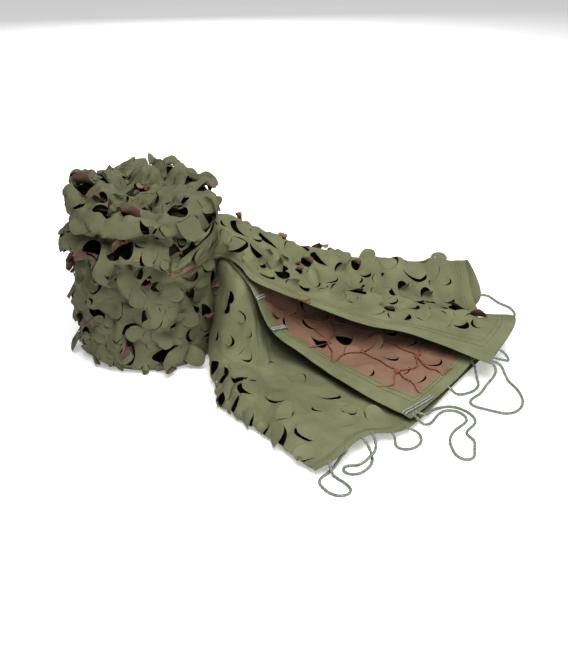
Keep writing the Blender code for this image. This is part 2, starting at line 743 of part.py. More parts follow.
def net_knots(cloth):
    """Knots of the support net in flat places, in staggered columns, and the pairs that twine joins."""
    u0, u1 = HEM_WIDTH + 0.012, cloth.u_at("fold_k2") - 0.030
    v0, v1 = v_at(cloth, "hollow", 0.15), cloth.length - HEM_WIDTH - 0.012
    rows, columns = 3, 5
    knots, pairs = {}, []
    for i in range(rows):
        for j in range(columns):
            loose = 0.007 * (0 < j < columns - 1)
            u = u0 + (u1 - u0) * (i + 0.5 * (j % 2)) / (rows - 0.5)
            v = v0 + (v1 - v0) * j / (columns - 1)
            knots[i, j] = (u + random.uniform(-loose, loose), v + random.uniform(-loose, loose))
            if j == columns - 1:
                continue
            pairs.append(((i, j), (i, j + 1)))
            other = i + 1 if j % 2 else i - 1
            if 0 <= other < rows:
                pairs.append(((i, j), (other, j + 1)))
    return knots, pairs


def build_support_net(home, finish, cloth):
    """Knotted twine lying on the brown side, where the panel shows between the two hems."""
    random.seed(3)
    over = CLOTH / 2 + TWINE / 2 + 4 * CLEAR
    arch = 0.004  # slack twine stands this far up between its knots
    knots, pairs = net_knots(cloth)
    spots = [(place, 0.0, True) for place in knots.values()]
    order = {key: n for n, key in enumerate(knots)}
    links = {n: [] for n in range(len(spots))}
    for a, b in pairs:
        last = order[a]
        (ua, va), (ub, vb) = knots[a], knots[b]
        bow = random.uniform(-0.012, 0.012)
        for n in (1, 2, 3, 4):
            t = n / 4
            if n == 4:
                here = order[b]
            else:
                slack = math.sin(math.pi * t)
                spots.append(((ua + (ub - ua) * t + bow * slack, va + (vb - va) * t), arch * slack, False))
                here = len(spots) - 1
                links[here] = []
            links[last].append(here)
            links[here].append(last)
            last = here
    mesh = bmesh.new()
    corners, knot_verts = {}, []
    for n, ((u, v), rise, is_knot) in enumerate(spots):
        wide_u = np.linalg.norm(cloth.read(cloth.du, u, v))
        wide_v = np.linalg.norm(cloth.read(cloth.dv, u, v))

        def heading(other):
            (ou, ov), _, _ = spots[other]
            return math.atan2((ov - v) * wide_v, (ou - u) * wide_u)

        links[n].sort(key=heading)
        ways = [heading(other) for other in links[n]]
        half = TWINE / 2 * (1.5 if is_knot else 1.0)
        for k, way in enumerate(ways):
            gap = (ways[(k + 1) % len(ways)] - way) % (2 * math.pi)
            if len(ways) == 1:
                turns, far = (way + math.pi / 2, way - math.pi / 2), half
            else:
                turns, far = (way + gap / 2,), half / max(math.sin(gap / 2), 0.5)
            for side, turn in enumerate(turns):
                place = cloth.place(
                    u + far * math.cos(turn) / wide_u, v + far * math.sin(turn) / wide_v, -over - rise
                )
                vert = mesh.verts.new(place)
                corners[n, k if side == 0 else k - 1] = vert
                if is_knot:
                    knot_verts.append(vert)
        if len(ways) > 2:
            mesh.faces.new([corners[n, k] for k in range(len(ways))])
    for n, others in links.items():
        for k, other in enumerate(others):
            if other < n:
                continue
            m = links[other].index(n)
            before = (k - 1) % len(others) if len(others) > 1 else -1
            other_before = (m - 1) % len(links[other]) if len(links[other]) > 1 else -1
            mesh.faces.new(
                [corners[n, before], corners[other, m], corners[other, other_before], corners[n, k]]
            )
    bmesh.ops.recalc_face_normals(mesh, faces=mesh.faces)
    mesh.verts.index_update()
    thick = [vert.index for vert in knot_verts]
    data = bpy.data.meshes.new("support_net")
    mesh.to_mesh(data)
    mesh.free()
    made = add_object("support_net", data, finish, home)
    group = made.vertex_groups.new(name="knots")
    group.add(list(range(len(data.vertices))), 0.8, "REPLACE")
    group.add(thick, 1.0, "REPLACE")
    solid = made.modifiers.new("twine", "SOLIDIFY")
    solid.thickness = TWINE
    solid.offset = 0.0
    solid.vertex_group = "knots"
    return made


def main():
    clear_scene()
    home = bpy.data.collections.new("camouflage_net")
    bpy.context.scene.collection.children.link(home)
    green = material("green_cloth", GREEN)
    cloth = DrapedCloth()
    build_roll(home, green)
    build_free_end(home, green, cloth)
    build_support_net(home, material("twine", TWINE_COLOUR), cloth)
    build_tie_cords(home, material("tie_cord", CORD_COLOUR), cloth)
    build_lashings(home, material("lashing", WRAP_COLOUR), cloth)


main()
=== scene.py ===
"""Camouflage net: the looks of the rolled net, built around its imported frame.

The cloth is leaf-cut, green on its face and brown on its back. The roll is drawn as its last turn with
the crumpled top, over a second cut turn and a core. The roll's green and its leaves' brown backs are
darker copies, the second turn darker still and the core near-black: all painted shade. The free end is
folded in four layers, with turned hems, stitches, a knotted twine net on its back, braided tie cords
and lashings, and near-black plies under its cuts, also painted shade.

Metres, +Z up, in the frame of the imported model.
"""

import math
import random

import bpy
import numpy as np
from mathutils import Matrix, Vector, geometry, noise


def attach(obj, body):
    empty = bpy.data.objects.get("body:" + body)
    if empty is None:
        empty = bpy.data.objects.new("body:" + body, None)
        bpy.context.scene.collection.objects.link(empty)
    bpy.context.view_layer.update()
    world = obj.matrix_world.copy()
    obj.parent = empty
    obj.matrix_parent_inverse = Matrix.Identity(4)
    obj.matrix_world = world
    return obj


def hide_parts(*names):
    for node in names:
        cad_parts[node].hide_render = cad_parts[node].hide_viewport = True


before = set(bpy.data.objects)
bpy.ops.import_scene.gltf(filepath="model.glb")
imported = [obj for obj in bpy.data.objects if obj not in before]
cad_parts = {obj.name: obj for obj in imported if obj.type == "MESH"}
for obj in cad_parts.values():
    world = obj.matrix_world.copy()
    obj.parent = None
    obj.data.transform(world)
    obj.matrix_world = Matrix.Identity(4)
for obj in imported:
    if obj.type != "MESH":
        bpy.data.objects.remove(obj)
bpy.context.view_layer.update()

# ---- sizes -------------------------------------------------------------------------------------
CLOTH = 0.0006  # drawn thickness of the coated cloth
HEM_WIDTH = 0.028
HEM_THICKNESS = 0.0034
STITCH_ROWS = (0.0235, 0.0175)  # from the edge of the hem
STITCH_LIFTS = ((1, 0.00075), (-1, 0.00255))  # green side and hem side: how far out the thread lies
CORD = 0.005
CORD_STEP = 0.0011  # between the rings of a cord
CORD_EASING = 0.006  # tight turns of a cord are opened within this
BRAID = 0.16  # share of a cord that its strands stand out
TWINE = 0.0024
CLEAR = 0.0003  # left between the cloth and the floor
LOWEST = 0.0006  # height of the lowest points of the roll and of the folded plies
GRID = 0.0045  # spacing of the cloth's points between its cuts

LEAF_LONG = 0.044
LEAF_WIDE = 0.038
USUAL_SIZES, SMALL_SIZES = (0.85, 1.15), (0.35, 0.62)  # shares of those two
ROLL_APART, END_APART, SMALL_APART = 0.034, 0.033, 0.018  # between the middles of leaves
LEAF_CLEAR = 0.004  # a leaf's box reaches this far past its cut
EDGE_CLEAR = 0.004  # between the cuts and an edge or a hem
CUT_APART = 1.08  # no two scattered cuts touch when either is swollen by this
GRID_CLEAR = 0.0014  # no point of the grid lies nearer to a cut
LONGEST_CUT = (0.15, 0.10)  # a cut that the pattern stretches past this is left out

CAMERA_TILT = math.radians(25)
CAMERA_AWAY = 2.45
CAMERA_PLACE = (
    0.255,
    -0.095 - CAMERA_AWAY * math.cos(CAMERA_TILT),
    0.08 + CAMERA_AWAY * math.sin(CAMERA_TILT),
)
FRAME_WIDE = 568
FRAME_MIDDLE = (284.0, 324.5)
FOCAL = 1350  # pixels of the photograph's frame
FRAME_PIXEL = 0.00175  # metres that one of them covers at the roll
EVERYWHERE = (0.0, 9.0)  # all columns of a pattern

ROLL_RADIUS = 0.119
TURN_PITCH = 0.022
EXIT_ANGLE = math.radians(-20)
EXIT_SPREAD = math.radians(20)
TOP_RADIUS = 0.100
PATTERN_START = EXIT_ANGLE + math.radians(7)  # the flat pattern of the roll's side begins here
BELT_FOOT, CROWN = 0.175, 0.325  # ways along the cloth where the belt folds and the top begin
BACK_CORNER = 163  # degrees round the roll, where its top stands out
ROLL_TURNS = ((1.0, 0.0), (0.35, 0.0075), (0.0, 0.0170))  # share of the folds, depth under the last turn
TIP_ROW, TIP_APART = 0.027, 0.040  # height of the row of leaves at the roll's foot, and their spacing

# The roll's outer face from its foot over the belt folds and the shoulder to the middle of its top.
ROLL_PROFILE = [  # way along the cloth, share of the turn's radius, height, how far lobes drop here
    (0.000, 0.890, 0.001, 0.0), (0.011, 0.945, 0.008, 0.0), (0.028, 0.978, 0.026, 0.0),
    (0.080, 0.985, 0.077, 0.0), (0.150, 0.985, 0.146, 0.0), (0.190, 0.970, 0.184, 0.0),
    (0.210, 0.935, 0.206, 0.0), (0.227, 0.975, 0.219, 0.5), (0.240, 1.045, 0.227, 1.0),
    (0.258, 1.040, 0.244, 0.4), (0.275, 0.930, 0.261, 0.0), (0.290, 0.980, 0.270, 0.5),
    (0.303, 1.050, 0.277, 1.0), (0.321, 1.050, 0.294, 0.4), (0.341, 1.000, 0.305, 0.0),
    (0.363, 0.860, 0.307, 0.0), (0.391, 0.665, 0.307, 0.0), (0.420, 0.440, 0.307, 0.0),
    (0.452, 0.210, 0.308, 0.0), (0.482, 0.010, 0.309, 0.0),
]

# Lobes of cloth that hang from the belt folds: middle and half width in degrees, depth in metres.
BELT_LOBES = [
    (-124.0, 24.0, 0.014), (-68.0, 11.0, 0.008), (178.0, 24.0, 0.006), (120.0, 22.0, 0.014),
    (66.0, 20.0, 0.011),
]

SECTIONS = ("wrap", "bend", "root", "neck", "shoulder", "hollow", "middle", "late", "end")
ROOT = {  # where each line starts, round the roll: degrees, height, distance from its surface
    "hem_a": (-14.0, 0.184, 0.0014),
    "panel": (-14.0, 0.206, 0.0014),
    "fold_k2": (-12.0, 0.230, 0.0014),
    "under": (-10.5, 0.206, 0.0019),
    "crest": (5.0, 0.160, -0.0050),
    "skirt": (3.0, 0.075, -0.0050),
    "fold_f": (-12.0, 0.014, 0.0010),
    "floor": (-12.0, 0.050, 0.0070),
    "floor_back": (-7.0, 0.185, 0.0020),
    "foot_k": (-6.5, 0.240, 0.0014),
    "ridge": (-12.0, 0.266, 0.0040),
    "valley": (-17.5, 0.246, 0.0030),
    "second": (-17.5, 0.218, 0.0030),
    "hem_b": (-17.5, 0.193, 0.0030),
}
# The same lines further back, where the cloth lies on the roll: degrees, then height and distance
# from its surface at "wrap", then the same at "bend". Those below the surface are hidden in it.
WRAP_ANGLES = (-66.0, -42.0)
WRAP = {
    "hem_a": (0.172, -0.0060, 0.180, -0.0060),
    "panel": (0.184, -0.0060, 0.196, -0.0060),
    "fold_k2": (0.196, -0.0060, 0.212, -0.0060),
    "under": (0.184, -0.0075, 0.196, -0.0075),
    "crest": (0.160, -0.0300, 0.160, -0.0320),
    "skirt": (0.075, -0.0300, 0.075, -0.0340),
    "fold_f": (0.020, -0.0300, 0.016, -0.0300),
    "floor": (0.050, -0.0320, 0.050, -0.0320),
    "floor_back": (0.150, -0.0100, 0.170, -0.0100),
    "foot_k": (0.205, -0.0060, 0.228, -0.0050),
    "ridge": (0.224, 0.0080, 0.254, 0.0130),
    "valley": (0.210, 0.0070, 0.238, 0.0110),
    "second": (0.198, 0.0035, 0.214, 0.0060),
    "hem_b": (0.186, -0.0040, 0.193, -0.0015),
}
FOLD_LINES = {  # millimetres: x, y, z at each section after the root
    "hem_a": [
        (169, -87, 186), (199, -147, 172), (231, -161, 104),
        (297, -179, 54), (390, -275, 34), (467, -340, 22),
    ],
    "panel": [
        (175, -65, 192), (209, -85, 170), (265, -87, 92),
        (367, -97, 46), (473, -153, 32), (561, -195, 24),
    ],
    "fold_k2": [
        (181, -39, 206), (221, -31, 168), (305, -1, 88),
        (425, 5, 46), (555, -5, 28), (647, -41, 22),
    ],
    "under": [
        (179, -64, 176), (209, -79, 152), (259, -85, 70),
        (361, -95, 28), (469, -153, 17), (555, -201, 13),
    ],
    "crest": [
        (163, -120, 176), (197, -130, 158), (235, -145, 50),
        (325, -205, 24), (407, -291, 16), (465, -350, 12),
    ],
    "skirt": [
        (138, -151, 62), (187, -174, 50), (227, -207, 28),
        (285, -287, 28), (337, -365, 27), (383, -411, 26),
    ],
    "fold_f": [
        (126, -150, 13), (143, -245, 13), (181, -315, 13),
        (227, -375, 13), (268, -444, 13), (305, -490, 12),
    ],
    "floor": [
        (183, -100, 3), (227, -110, 2), (279, -120, 2),
        (363, -135, 2), (435, -150, 2), (495, -160, 2),
    ],
    "floor_back": [
        (185, -30, 100), (237, -5, 30), (317, 25, 3),
        (405, 45, 2), (495, 60, 2), (585, 60, 2),
    ],
    "foot_k": [
        (183, 12, 176), (245, 50, 70), (327, 100, 12),
        (429, 155, 9), (547, 185, 9), (655, 200, 9),
    ],
    "ridge": [
        (185, 1, 238), (251, 33, 194), (347, 81, 154),
        (431, 105, 130), (525, 131, 110), (616, 165, 98),
    ],
    "valley": [
        (187, -30, 222), (251, -9, 180), (341, 25, 130),
        (435, 31, 94), (540, 43, 62), (635, 55, 34),
    ],
    "second": [
        (189, -66, 210), (251, -52, 170), (337, -31, 122),
        (441, -31, 94), (561, -31, 74), (685, -19, 60),
    ],
    "hem_b": [
        (177, -98, 196), (203, -145, 186), (287, -113, 134),
        (385, -115, 94), (495, -119, 68), (620, -175, 40),
    ],
}
HAIRPINS = {"fold_k2": (0.0035, 0.0050), "fold_f": (0.0050, 0.0115)}  # fold radius at root and end

# Tie cords: start, end and the route between them. Start and end are places on the end hem, each a
# fold line and the share of the way to the next line. Routes are in millimetres, over the floor.
TIE_CORDS = {
    "f": (("skirt", 0.40), ("skirt", 0.78), [
        (346, -458, 18), (334, -472, 6), (322, -488, 3), (312, -500, 3), (310, -514, 3),
        (317, -531, 3), (328, -546, 3), (341, -552, 3), (354, -547, 3), (359, -535, 3),
        (354, -520, 3), (343, -505, 3), (332, -492, 4), (327, -484, 15),
    ]),
    "e": (("skirt", 0.02), ("crest", 0.80), [
        (394, -428, 12), (397, -440, 4), (396, -453, 3), (388, -470, 3), (375, -485, 3),
        (361, -489, 3), (351, -482, 3), (348, -472, 3), (353, -463, 3), (363, -461, 3),
        (374, -464, 5), (385, -459, 10), (394, -447, 13), (401, -434, 12), (404, -420, 16),
    ]),
    "d": (("crest", 0.36), ("crest", 0.05), [
        (438, -388, 7), (437, -397, 3), (442, -406, 3), (452, -411, 3), (463, -409, 3),
        (473, -400, 3), (480, -388, 3), (482, -374, 4), (478, -364, 8),
    ]),
    "a": (("hem_a", 0.03), ("hem_a", 0.13), [
        (487, -345, 12), (501, -329, 6), (512, -305, 3), (522, -287, 3), (534, -278, 3),
        (546, -279, 3), (557, -287, 3), (564, -300, 3), (565, -312, 3), (558, -326, 3),
        (545, -341, 3), (534, -360, 3), (528, -382, 3), (529, -406, 3), (533, -428, 3),
        (541, -441, 3), (551, -444, 3), (560, -438, 3), (564, -423, 3), (566, -403, 3),
        (569, -384, 3), (564, -371, 3), (558, -361, 3), (561, -348, 3), (573, -332, 3),
        (579, -316, 3), (577, -300, 3), (569, -284, 3), (558, -272, 3), (546, -265, 3),
        (533, -265, 3), (520, -274, 5), (509, -290, 10), (499, -310, 15), (494, -323, 19),
    ]),
    "b": (("second", 0.94), ("second", 0.97), [
        (642, -164, 32), (650, -163, 14), (657, -172, 3), (664, -189, 3), (669, -210, 3),
        (671, -234, 3), (668, -256, 3), (660, -274, 3), (647, -287, 3), (634, -290, 3),
        (618, -283, 3), (601, -274, 3), (587, -266, 3), (578, -255, 3), (579, -243, 3),
        (588, -230, 3), (599, -218, 3), (607, -203, 3), (613, -194, 8), (624, -192, 20),
        (631, -184, 33),
    ]),
    "c": (("panel", 0.30), ("hem_a", 0.78), [
        (600, -163, 8), (602, -178, 3), (598, -194, 3), (588, -208, 3), (575, -217, 3),
        (561, -224, 5), (552, -236, 14),
    ]),
    "g": (("second", 0.88), ("second", 0.73), [
        (650, -152, 36), (660, -142, 30), (656, -130, 36),
    ]),
    "back": (("foot_k", 0.0), ("valley", 0.30), [
        (672, 210, 3), (680, 193, 3), (690, 171, 3), (704, 156, 3), (712, 134, 3),
        (711, 110, 4), (701, 86, 10), (686, 62, 22), (671, 44, 34),
    ]),
}
LASHINGS = {  # a section, the share of the way to the next, the gap under it
    "1": ("shoulder", 0.25, 0.0003),
    "2": ("hollow", 0.05, 0.0006),
    "3": ("late", 0.86, 0.0006),
}

# Leaves that stand out in the photograph: where they are seen in its frame, the way their tips point
# on the pattern in degrees (0 is right, 90 is up the roll), their size, curl and kind.
ROLL_LEAVES = [
    (169, 166, 90, 0.5, 1.6, "round"), (192, 178, 90, 0.8, 1.7, "hooked"),
    (137, 184, -90, 0.6, 1.7, "round"), (178, 190, -80, 0.9, 2.3, "round"),
    (157, 186, -90, 0.5, 2.4, "hooked"), (122, 200, 80, 0.7, 2.7, "hooked"),
    (100, 196, 100, 0.6, 2.7, "round"), (176, 202, -90, 1.1, 0.7, "round"),
    (150, 196, -90, 1.3, 0.9, "hooked"), (118, 190, 60, 1.2, 1.2, "hooked"),
    (205, 196, -80, 1.1, 0.6, "hooked"), (197, 176, -60, 1.1, 0.9, "round"),
    (152, 180, -40, 1.1, 0.9, "round"), (149, 223, -90, 0.75, 0.6, "round"),
    (166, 221, -90, 0.8, 0.7, "round"), (192, 228, -70, 1.1, 0.5, "round"),
    (149, 256, -80, 0.9, 0.9, "hooked"), (174, 250, 100, 0.6, 2.7, "hooked"),
    (90, 250, 60, 1.0, 2.5, "round"), (76, 228, 190, 0.9, 0.7, "round"),
    (80, 262, 190, 0.6, 0.9, "round"), (84, 290, 190, 0.5, 0.9, "round"),
    (147, 283, 60, 0.55, 2.4, "hooked"), (158, 290, -160, 0.55, 2.3, "hooked"),
    (193, 272, -30, 0.8, 1.8, "hooked"), (155, 306, -90, 1.0, 0.8, "round"),
    (137, 300, -150, 0.9, 0.7, "hooked"), (176, 292, -40, 0.9, 0.6, "round"),
    (112, 308, -60, 1.1, 0.7, "round"), (114, 322, 80, 0.6, 2.8, "hooked"),
    (97, 314, 100, 0.8, 2.6, "hooked"), (214, 280, 90, 0.7, 2.4, "hooked"),
    (208, 312, 120, 0.6, 2.3, "hooked"), (103, 332, -90, 1.1, 0.7, "round"),
    (84, 334, 100, 0.7, 2.4, "round"), (122, 352, -90, 1.25, 0.5, "round"),
    (137, 338, -90, 1.0, 0.4, "lobed"), (166, 356, 180, 1.2, 0.8, "hooked"),
    (192, 356, -60, 0.9, 1.2, "round"), (168, 338, -90, 1.1, 0.5, "hooked"),
    (203, 243, -110, 1.4, 0.35, "round"), (217, 230, 60, 0.7, 2.3, "hooked"),
    (192, 322, -20, 0.8, 0.5, "round"), (182, 316, 90, 0.6, 0.6, "hooked"),
    (200, 300, -50, 0.9, 0.4, "hooked"),
]
# Taut folds on the roll: from one seen place to another, their height and half width in metres.
PLEATS = [
    ((94, 256), (140, 300), 0.022, 0.022),
    ((140, 300), (176, 328), 0.016, 0.026),
    ((178, 254), (216, 220), 0.013, 0.024),
    ((120, 330), (112, 352), 0.012, 0.020),
    ((160, 262), (196, 282), 0.009, 0.022),
]
# Where the roll's cloth lies smooth, in the same frame: place, radius and how calm the leaves are.
ROLL_CALM = [
    (180, 320, 34, 0.75), (205, 300, 24, 0.75), (116, 228, 19, 1.1), (90, 224, 15, 1.1),
    (122, 284, 15, 1.1), (160, 275, 26, 0.7), (200, 245, 22, 0.9), (180, 345, 20, 0.6),
]
YELLOW_TIES = [(139, 260), (132, 198), (167, 272), (150, 280), (204, 257)]

# The twine net as it shows on the open panel, its knots and the loop that lies over the back hem.
TWINE_RUNS = [
    [(262, 296), (296, 315), (328, 341)],
    [(331, 318), (333, 330), (328, 342)],
    [(331, 318), (352, 326), (381, 336)],
    [(328, 342), (305, 350)],
    [(328, 342), (332, 364)],
    [(331, 364), (344, 355), (363, 351), (374, 344), (381, 336)],
    [(381, 336), (398, 346), (418, 355)],
    [(424, 343), (418, 355), (443, 375)],
    [(418, 355), (417, 366), (398, 371), (392, 384), (374, 388)],
    [(363, 351), (385, 363), (398, 371), (421, 394)],
    [(296, 315), (318, 322), (331, 318)],
    [(443, 375), (452, 368)],
]
TWINE_KNOTS = [(328, 342), (363, 351), (381, 336), (418, 355), (398, 371), (331, 318)]
TWINE_OVER_HEM = [(296, 312), (303, 301), (311, 300), (309, 306), (299, 313)]
# Leaves of the free end that stand out, in the same way. Here 90 degrees points their tips to the
# right, and 0 to the front, or to the back on the open panel.
FRONT_LEAVES = [
    (313, 429, 270, 1.25, 0.25, "hooked"), (273, 397, 20, 0.9, 0.2, "hooked"),
    (290, 403, 200, 0.8, 0.2, "round"), (330, 392, 80, 1.0, 0.3, "round"),
    (319, 407, 0, 0.6, 0.2, "round"), (351, 409, 70, 0.8, 0.25, "hooked"),
    (300, 378, 160, 0.8, 0.2, "hooked"), (247, 354, 60, 0.6, 0.8, "hooked"),
    (246, 333, 60, 0.45, 0.4, "round"), (216, 336, 90, 0.5, 0.6, "round"),
    (228, 342, 60, 0.5, 0.5, "round"), (241, 316, 90, 0.5, 0.4, "hooked"),
    (222, 374, 60, 0.7, 0.8, "round"), (241, 376, 40, 0.8, 0.9, "hooked"),
    (230, 385, 300, 0.6, 1.3, "round"), (218, 398, 60, 0.7, 0.9, "round"),
    (232, 405, 60, 0.8, 0.8, "round"), (246, 416, 50, 0.8, 0.8, "hooked"),
    (262, 427, 60, 0.6, 0.7, "round"), (243, 432, 70, 0.6, 0.7, "round"),
    (264, 444, 60, 0.6, 0.6, "round"), (279, 452, 60, 0.6, 0.6, "round"),
    (256, 392, 330, 0.8, 1.2, "hooked"),
]
RIDGE_LEAVES = [
    (235, 246, 60, 0.9, 0.5, "hooked"), (240, 262, 180, 1.0, 0.4, "round"),
    (258, 250, 10, 0.9, 0.25, "hooked"), (284, 258, 180, 0.5, 2.8, "round"),
    (307, 262, 0, 0.5, 2.6, "round"), (318, 272, 60, 1.0, 0.8, "hooked"),
    (342, 268, 180, 0.6, 1.5, "round"), (356, 264, 0, 0.5, 2.4, "round"),
    (356, 282, 100, 0.7, 0.6, "lobed"), (340, 292, 180, 1.0, 0.35, "hooked"),
    (378, 294, 200, 0.9, 0.4, "round"), (390, 300, 190, 0.8, 0.5, "hooked"),
    (407, 304, 100, 1.0, 0.5, "hooked"), (383, 280, 190, 0.8, 0.8, "lobed"),
    (372, 296, 20, 0.7, 0.5, "hooked"), (425, 312, 180, 0.8, 0.9, "hooked"),
    (447, 296, 60, 0.8, 1.0, "hooked"), (462, 322, 100, 0.7, 0.8, "round"),
    (268, 272, 120, 0.8, 0.5, "hooked"), (302, 282, 60, 0.8, 0.7, "hooked"),
    (404, 286, 180, 0.6, 2.6, "round"), (427, 293, 180, 0.6, 2.6, "round"),
    (438, 310, 180, 0.9, 2.3, "round"), (458, 308, 270, 0.9, 0.6, "round"),
    (443, 326, 30, 1.1, 0.6, "hooked"), (415, 274, 40, 1.0, 0.6, "hooked"),
    (411, 268, 0, 0.4, 2.4, "round"), (436, 270, 120, 0.8, 0.5, "hooked"),
    (477, 306, 270, 0.8, 0.3, "hooked"),
]
PANEL_LEAVES = [
    (431, 360, 90, 0.9, -0.3, "round"), (362, 372, 20, 1.0, -0.7, "round"),
    (376, 378, 60, 0.9, -0.8, "hooked"), (290, 308, 40, 0.8, -0.9, "round"),
    (313, 322, 200, 0.9, -0.5, "round"), (350, 350, 300, 0.8, -0.5, "hooked"),
    (405, 342, 60, 0.9, -0.4, "hooked"), (392, 356, 120, 0.7, -0.3, "round"),
    (418, 378, 45, 0.8, -0.4, "hooked"),
]

# Layers folded in under the cuts, near-black as painted shade: from and to, each a fold line with a share,
# and how far under.
PLIES = [
    (("hem_a", 0.35), ("fold_k2", 0.0), 0.0045),
    (("crest", 0.35), ("fold_f", 0.0), -0.0070),
    (("foot_k", 0.20), ("ridge", 0.0), -0.0070),
    (("ridge", 0.0), ("second", 0.7), -0.0070),
]

SEEDS = {"roll": 21, "second_turn": 33, "free_end": 8}


# ---- curves and surfaces -----------------------------------------------------------------------
def curve_through(knots, values, at):
    """Smooth curve through values at the given knots, read at other places. Works on rows of points."""
    knots = np.asarray(knots, float)
    values = np.asarray(values, float)
    steps = np.diff(knots)
    wide = steps.reshape(-1, *([1] * (values.ndim - 1)))
    slopes = np.diff(values, axis=0) / wide
    tangents = np.empty_like(values)
    tangents[0], tangents[-1] = slopes[0], slopes[-1]
    tangents[1:-1] = (wide[1:] * slopes[:-1] + wide[:-1] * slopes[1:]) / (wide[1:] + wide[:-1])
    at = np.clip(np.atleast_1d(at), knots[0], knots[-1])
    cell = np.clip(np.searchsorted(knots, at, side="right") - 1, 0, len(knots) - 2)
    shape = (-1, *([1] * (values.ndim - 1)))
    step = steps[cell].reshape(shape)
    t = ((at - knots[cell]) / steps[cell]).reshape(shape)
    return (
        (2 * t**3 - 3 * t**2 + 1) * values[cell]
        + (t**3 - 2 * t**2 + t) * step * tangents[cell]
        + (3 * t**2 - 2 * t**3) * values[cell + 1]
        + (t**3 - t**2) * step * tangents[cell + 1]
    )


def unit(vectors):
    length = np.linalg.norm(vectors, axis=-1, keepdims=True)
    return vectors / np.maximum(length, 1e-12)


def smooth_step(x):
    x = np.clip(x, 0.0, 1.0)
    return x * x * (3 - 2 * x)


def lumps(points, size, seed):
    """Soft noise over points, about -1 to 1, with lumps of the given size in metres."""
    flat = np.asarray(points, float).reshape(-1, 3) / size + seed * 7.3
    made = np.fromiter((noise.noise(Vector(p)) for p in flat), float, len(flat))
    return 1.6 * made.reshape(np.asarray(points).shape[:-1])


def way_along(points, power=1.0):
    """Distance along a row of points from its first, with each step to a power."""
    return np.concatenate([[0], np.cumsum(np.linalg.norm(np.diff(points, axis=0), axis=1) ** power)])


class Surface:
    """Cloth as a grid of points over its flat pattern, u across and v along, in metres."""

    def __init__(self, us, vs, grid):
        self.us, self.vs = us, vs
        self.width, self.length = us[-1], vs[-1]
        self.set_grid(grid)

    def set_grid(self, grid):
        self.grid = grid
        self.du = np.gradient(grid, self.us, axis=0)
        self.dv = np.gradient(grid, self.vs, axis=1)
        self.normals = unit(np.cross(self.du, self.dv))

    def read(self, table, u, v):
        iu = np.clip(np.asarray(u, float) / self.width, 0, 1) * (len(self.us) - 1)
        iv = np.clip(np.asarray(v, float) / self.length, 0, 1) * (len(self.vs) - 1)
        a = np.minimum(iu.astype(int), len(self.us) - 2)
        b = np.minimum(iv.astype(int), len(self.vs) - 2)
        s, t = (iu - a)[..., None], (iv - b)[..., None]
        return (
            table[a, b] * (1 - s) * (1 - t)
            + table[a + 1, b] * s * (1 - t)
            + table[a, b + 1] * (1 - s) * t
            + table[a + 1, b + 1] * s * t
        )

    def place(self, u, v, rise=0.0):
        """Points of the cloth, raised on its green side."""
        rise = np.broadcast_to(np.asarray(rise, float), np.shape(u))[..., None]
        return self.read(self.grid, u, v) + rise * unit(self.read(self.normals, u, v))

    def step(self, u, v, turn, x, y):
        """Places reached from (u, v) by going real distances x, y over the cloth, turned by an angle."""
        along_u, along_v = self.read(self.du, u, v), self.read(self.dv, u, v)
        first = unit(along_u)
        lean = (along_v * first).sum(axis=-1)
        second = unit(along_v - first * lean[..., None])
        a = x * np.cos(turn) - y * np.sin(turn)
        b = x * np.sin(turn) + y * np.cos(turn)
        dv = b / (along_v * second).sum(axis=-1)
        return u + (a - dv * lean) / np.linalg.norm(along_u, axis=-1), v + dv


def seen_at(surface, x, y, columns=EVERYWHERE):
    """Pattern place of the point of a surface that shows at a place in the photograph's frame."""
    away = surface.grid - np.array(CAMERA_PLACE)
    ahead = away @ np.array([0.0, math.cos(CAMERA_TILT), -math.sin(CAMERA_TILT)])
    above = away @ np.array([0.0, math.sin(CAMERA_TILT), math.cos(CAMERA_TILT)])
    right, down = FRAME_MIDDLE
    off = np.hypot(right + FOCAL * away[:, :, 0] / ahead - x, down - FOCAL * above / ahead - y)
    off[(surface.us < columns[0]) | (surface.us > columns[1])] = np.inf
    near = np.where(off < off.min() + 1.5, ahead, np.inf)
    i, j = np.unravel_index(near.argmin(), near.shape)
    return surface.us[i], surface.vs[j]


# ---- the roll's shape --------------------------------------------------------------------------
def turn_radius(angle):
    """Radius of the last turn: it grows all the way round, and dies away past the exit."""
    past = (angle - EXIT_ANGLE) % (2 * math.pi)
    dying = ROLL_RADIUS + TURN_PITCH * (1 - smooth_step(past / EXIT_SPREAD))
    growing = ROLL_RADIUS + TURN_PITCH * (past - EXIT_SPREAD) / (2 * math.pi - EXIT_SPREAD)
    return np.where(past < EXIT_SPREAD, dying, growing)


def near_exit(angle):
    """1 beside the place where the cloth leaves the roll, 0 well away from it."""
    off = np.arctan2(np.sin(angle - EXIT_ANGLE - 0.12), np.cos(angle - EXIT_ANGLE - 0.12))
    return 1 - smooth_step((np.abs(off) - 0.20) / 0.45)


def creases(points, size, seed):
    """Noise with sharp ridges, as where cloth is pulled taut."""
    return 1 - 2 * np.abs(lumps(points, size, seed))


def rise_at(angle, degrees, half):
    """A smooth rise to 1 towards a direction round the roll. That and its half width are in degrees."""
    off = np.degrees(np.angle(np.exp(1j * (angle - math.radians(degrees)))))
    return np.exp(-((off / half) ** 2))


def top_ridges(x, y):
    """The wound edges on the roll's top, in a spiral."""
    radius, angle = np.hypot(x, y), np.arctan2(y, x)
    turn = (radius - TURN_PITCH * angle / (2 * math.pi)) / TURN_PITCH
    ridge = 0.5 + 0.5 * np.cos(2 * math.pi * turn)
    return 0.006 * (ridge - 0.35) * smooth_step(radius / 0.02) * smooth_step((TOP_RADIUS - radius) / 0.010)


def top_rise(x, y):
    """The roll's top is highest at the back right, with a lower corner at the back left."""
    right = 0.017 * smooth_step(1 - np.hypot(x - 0.030, y - 0.050) / 0.090)
    left = 0.012 * smooth_step(1 - np.hypot(x + 0.100, y - 0.035) / 0.060)
    return right + left


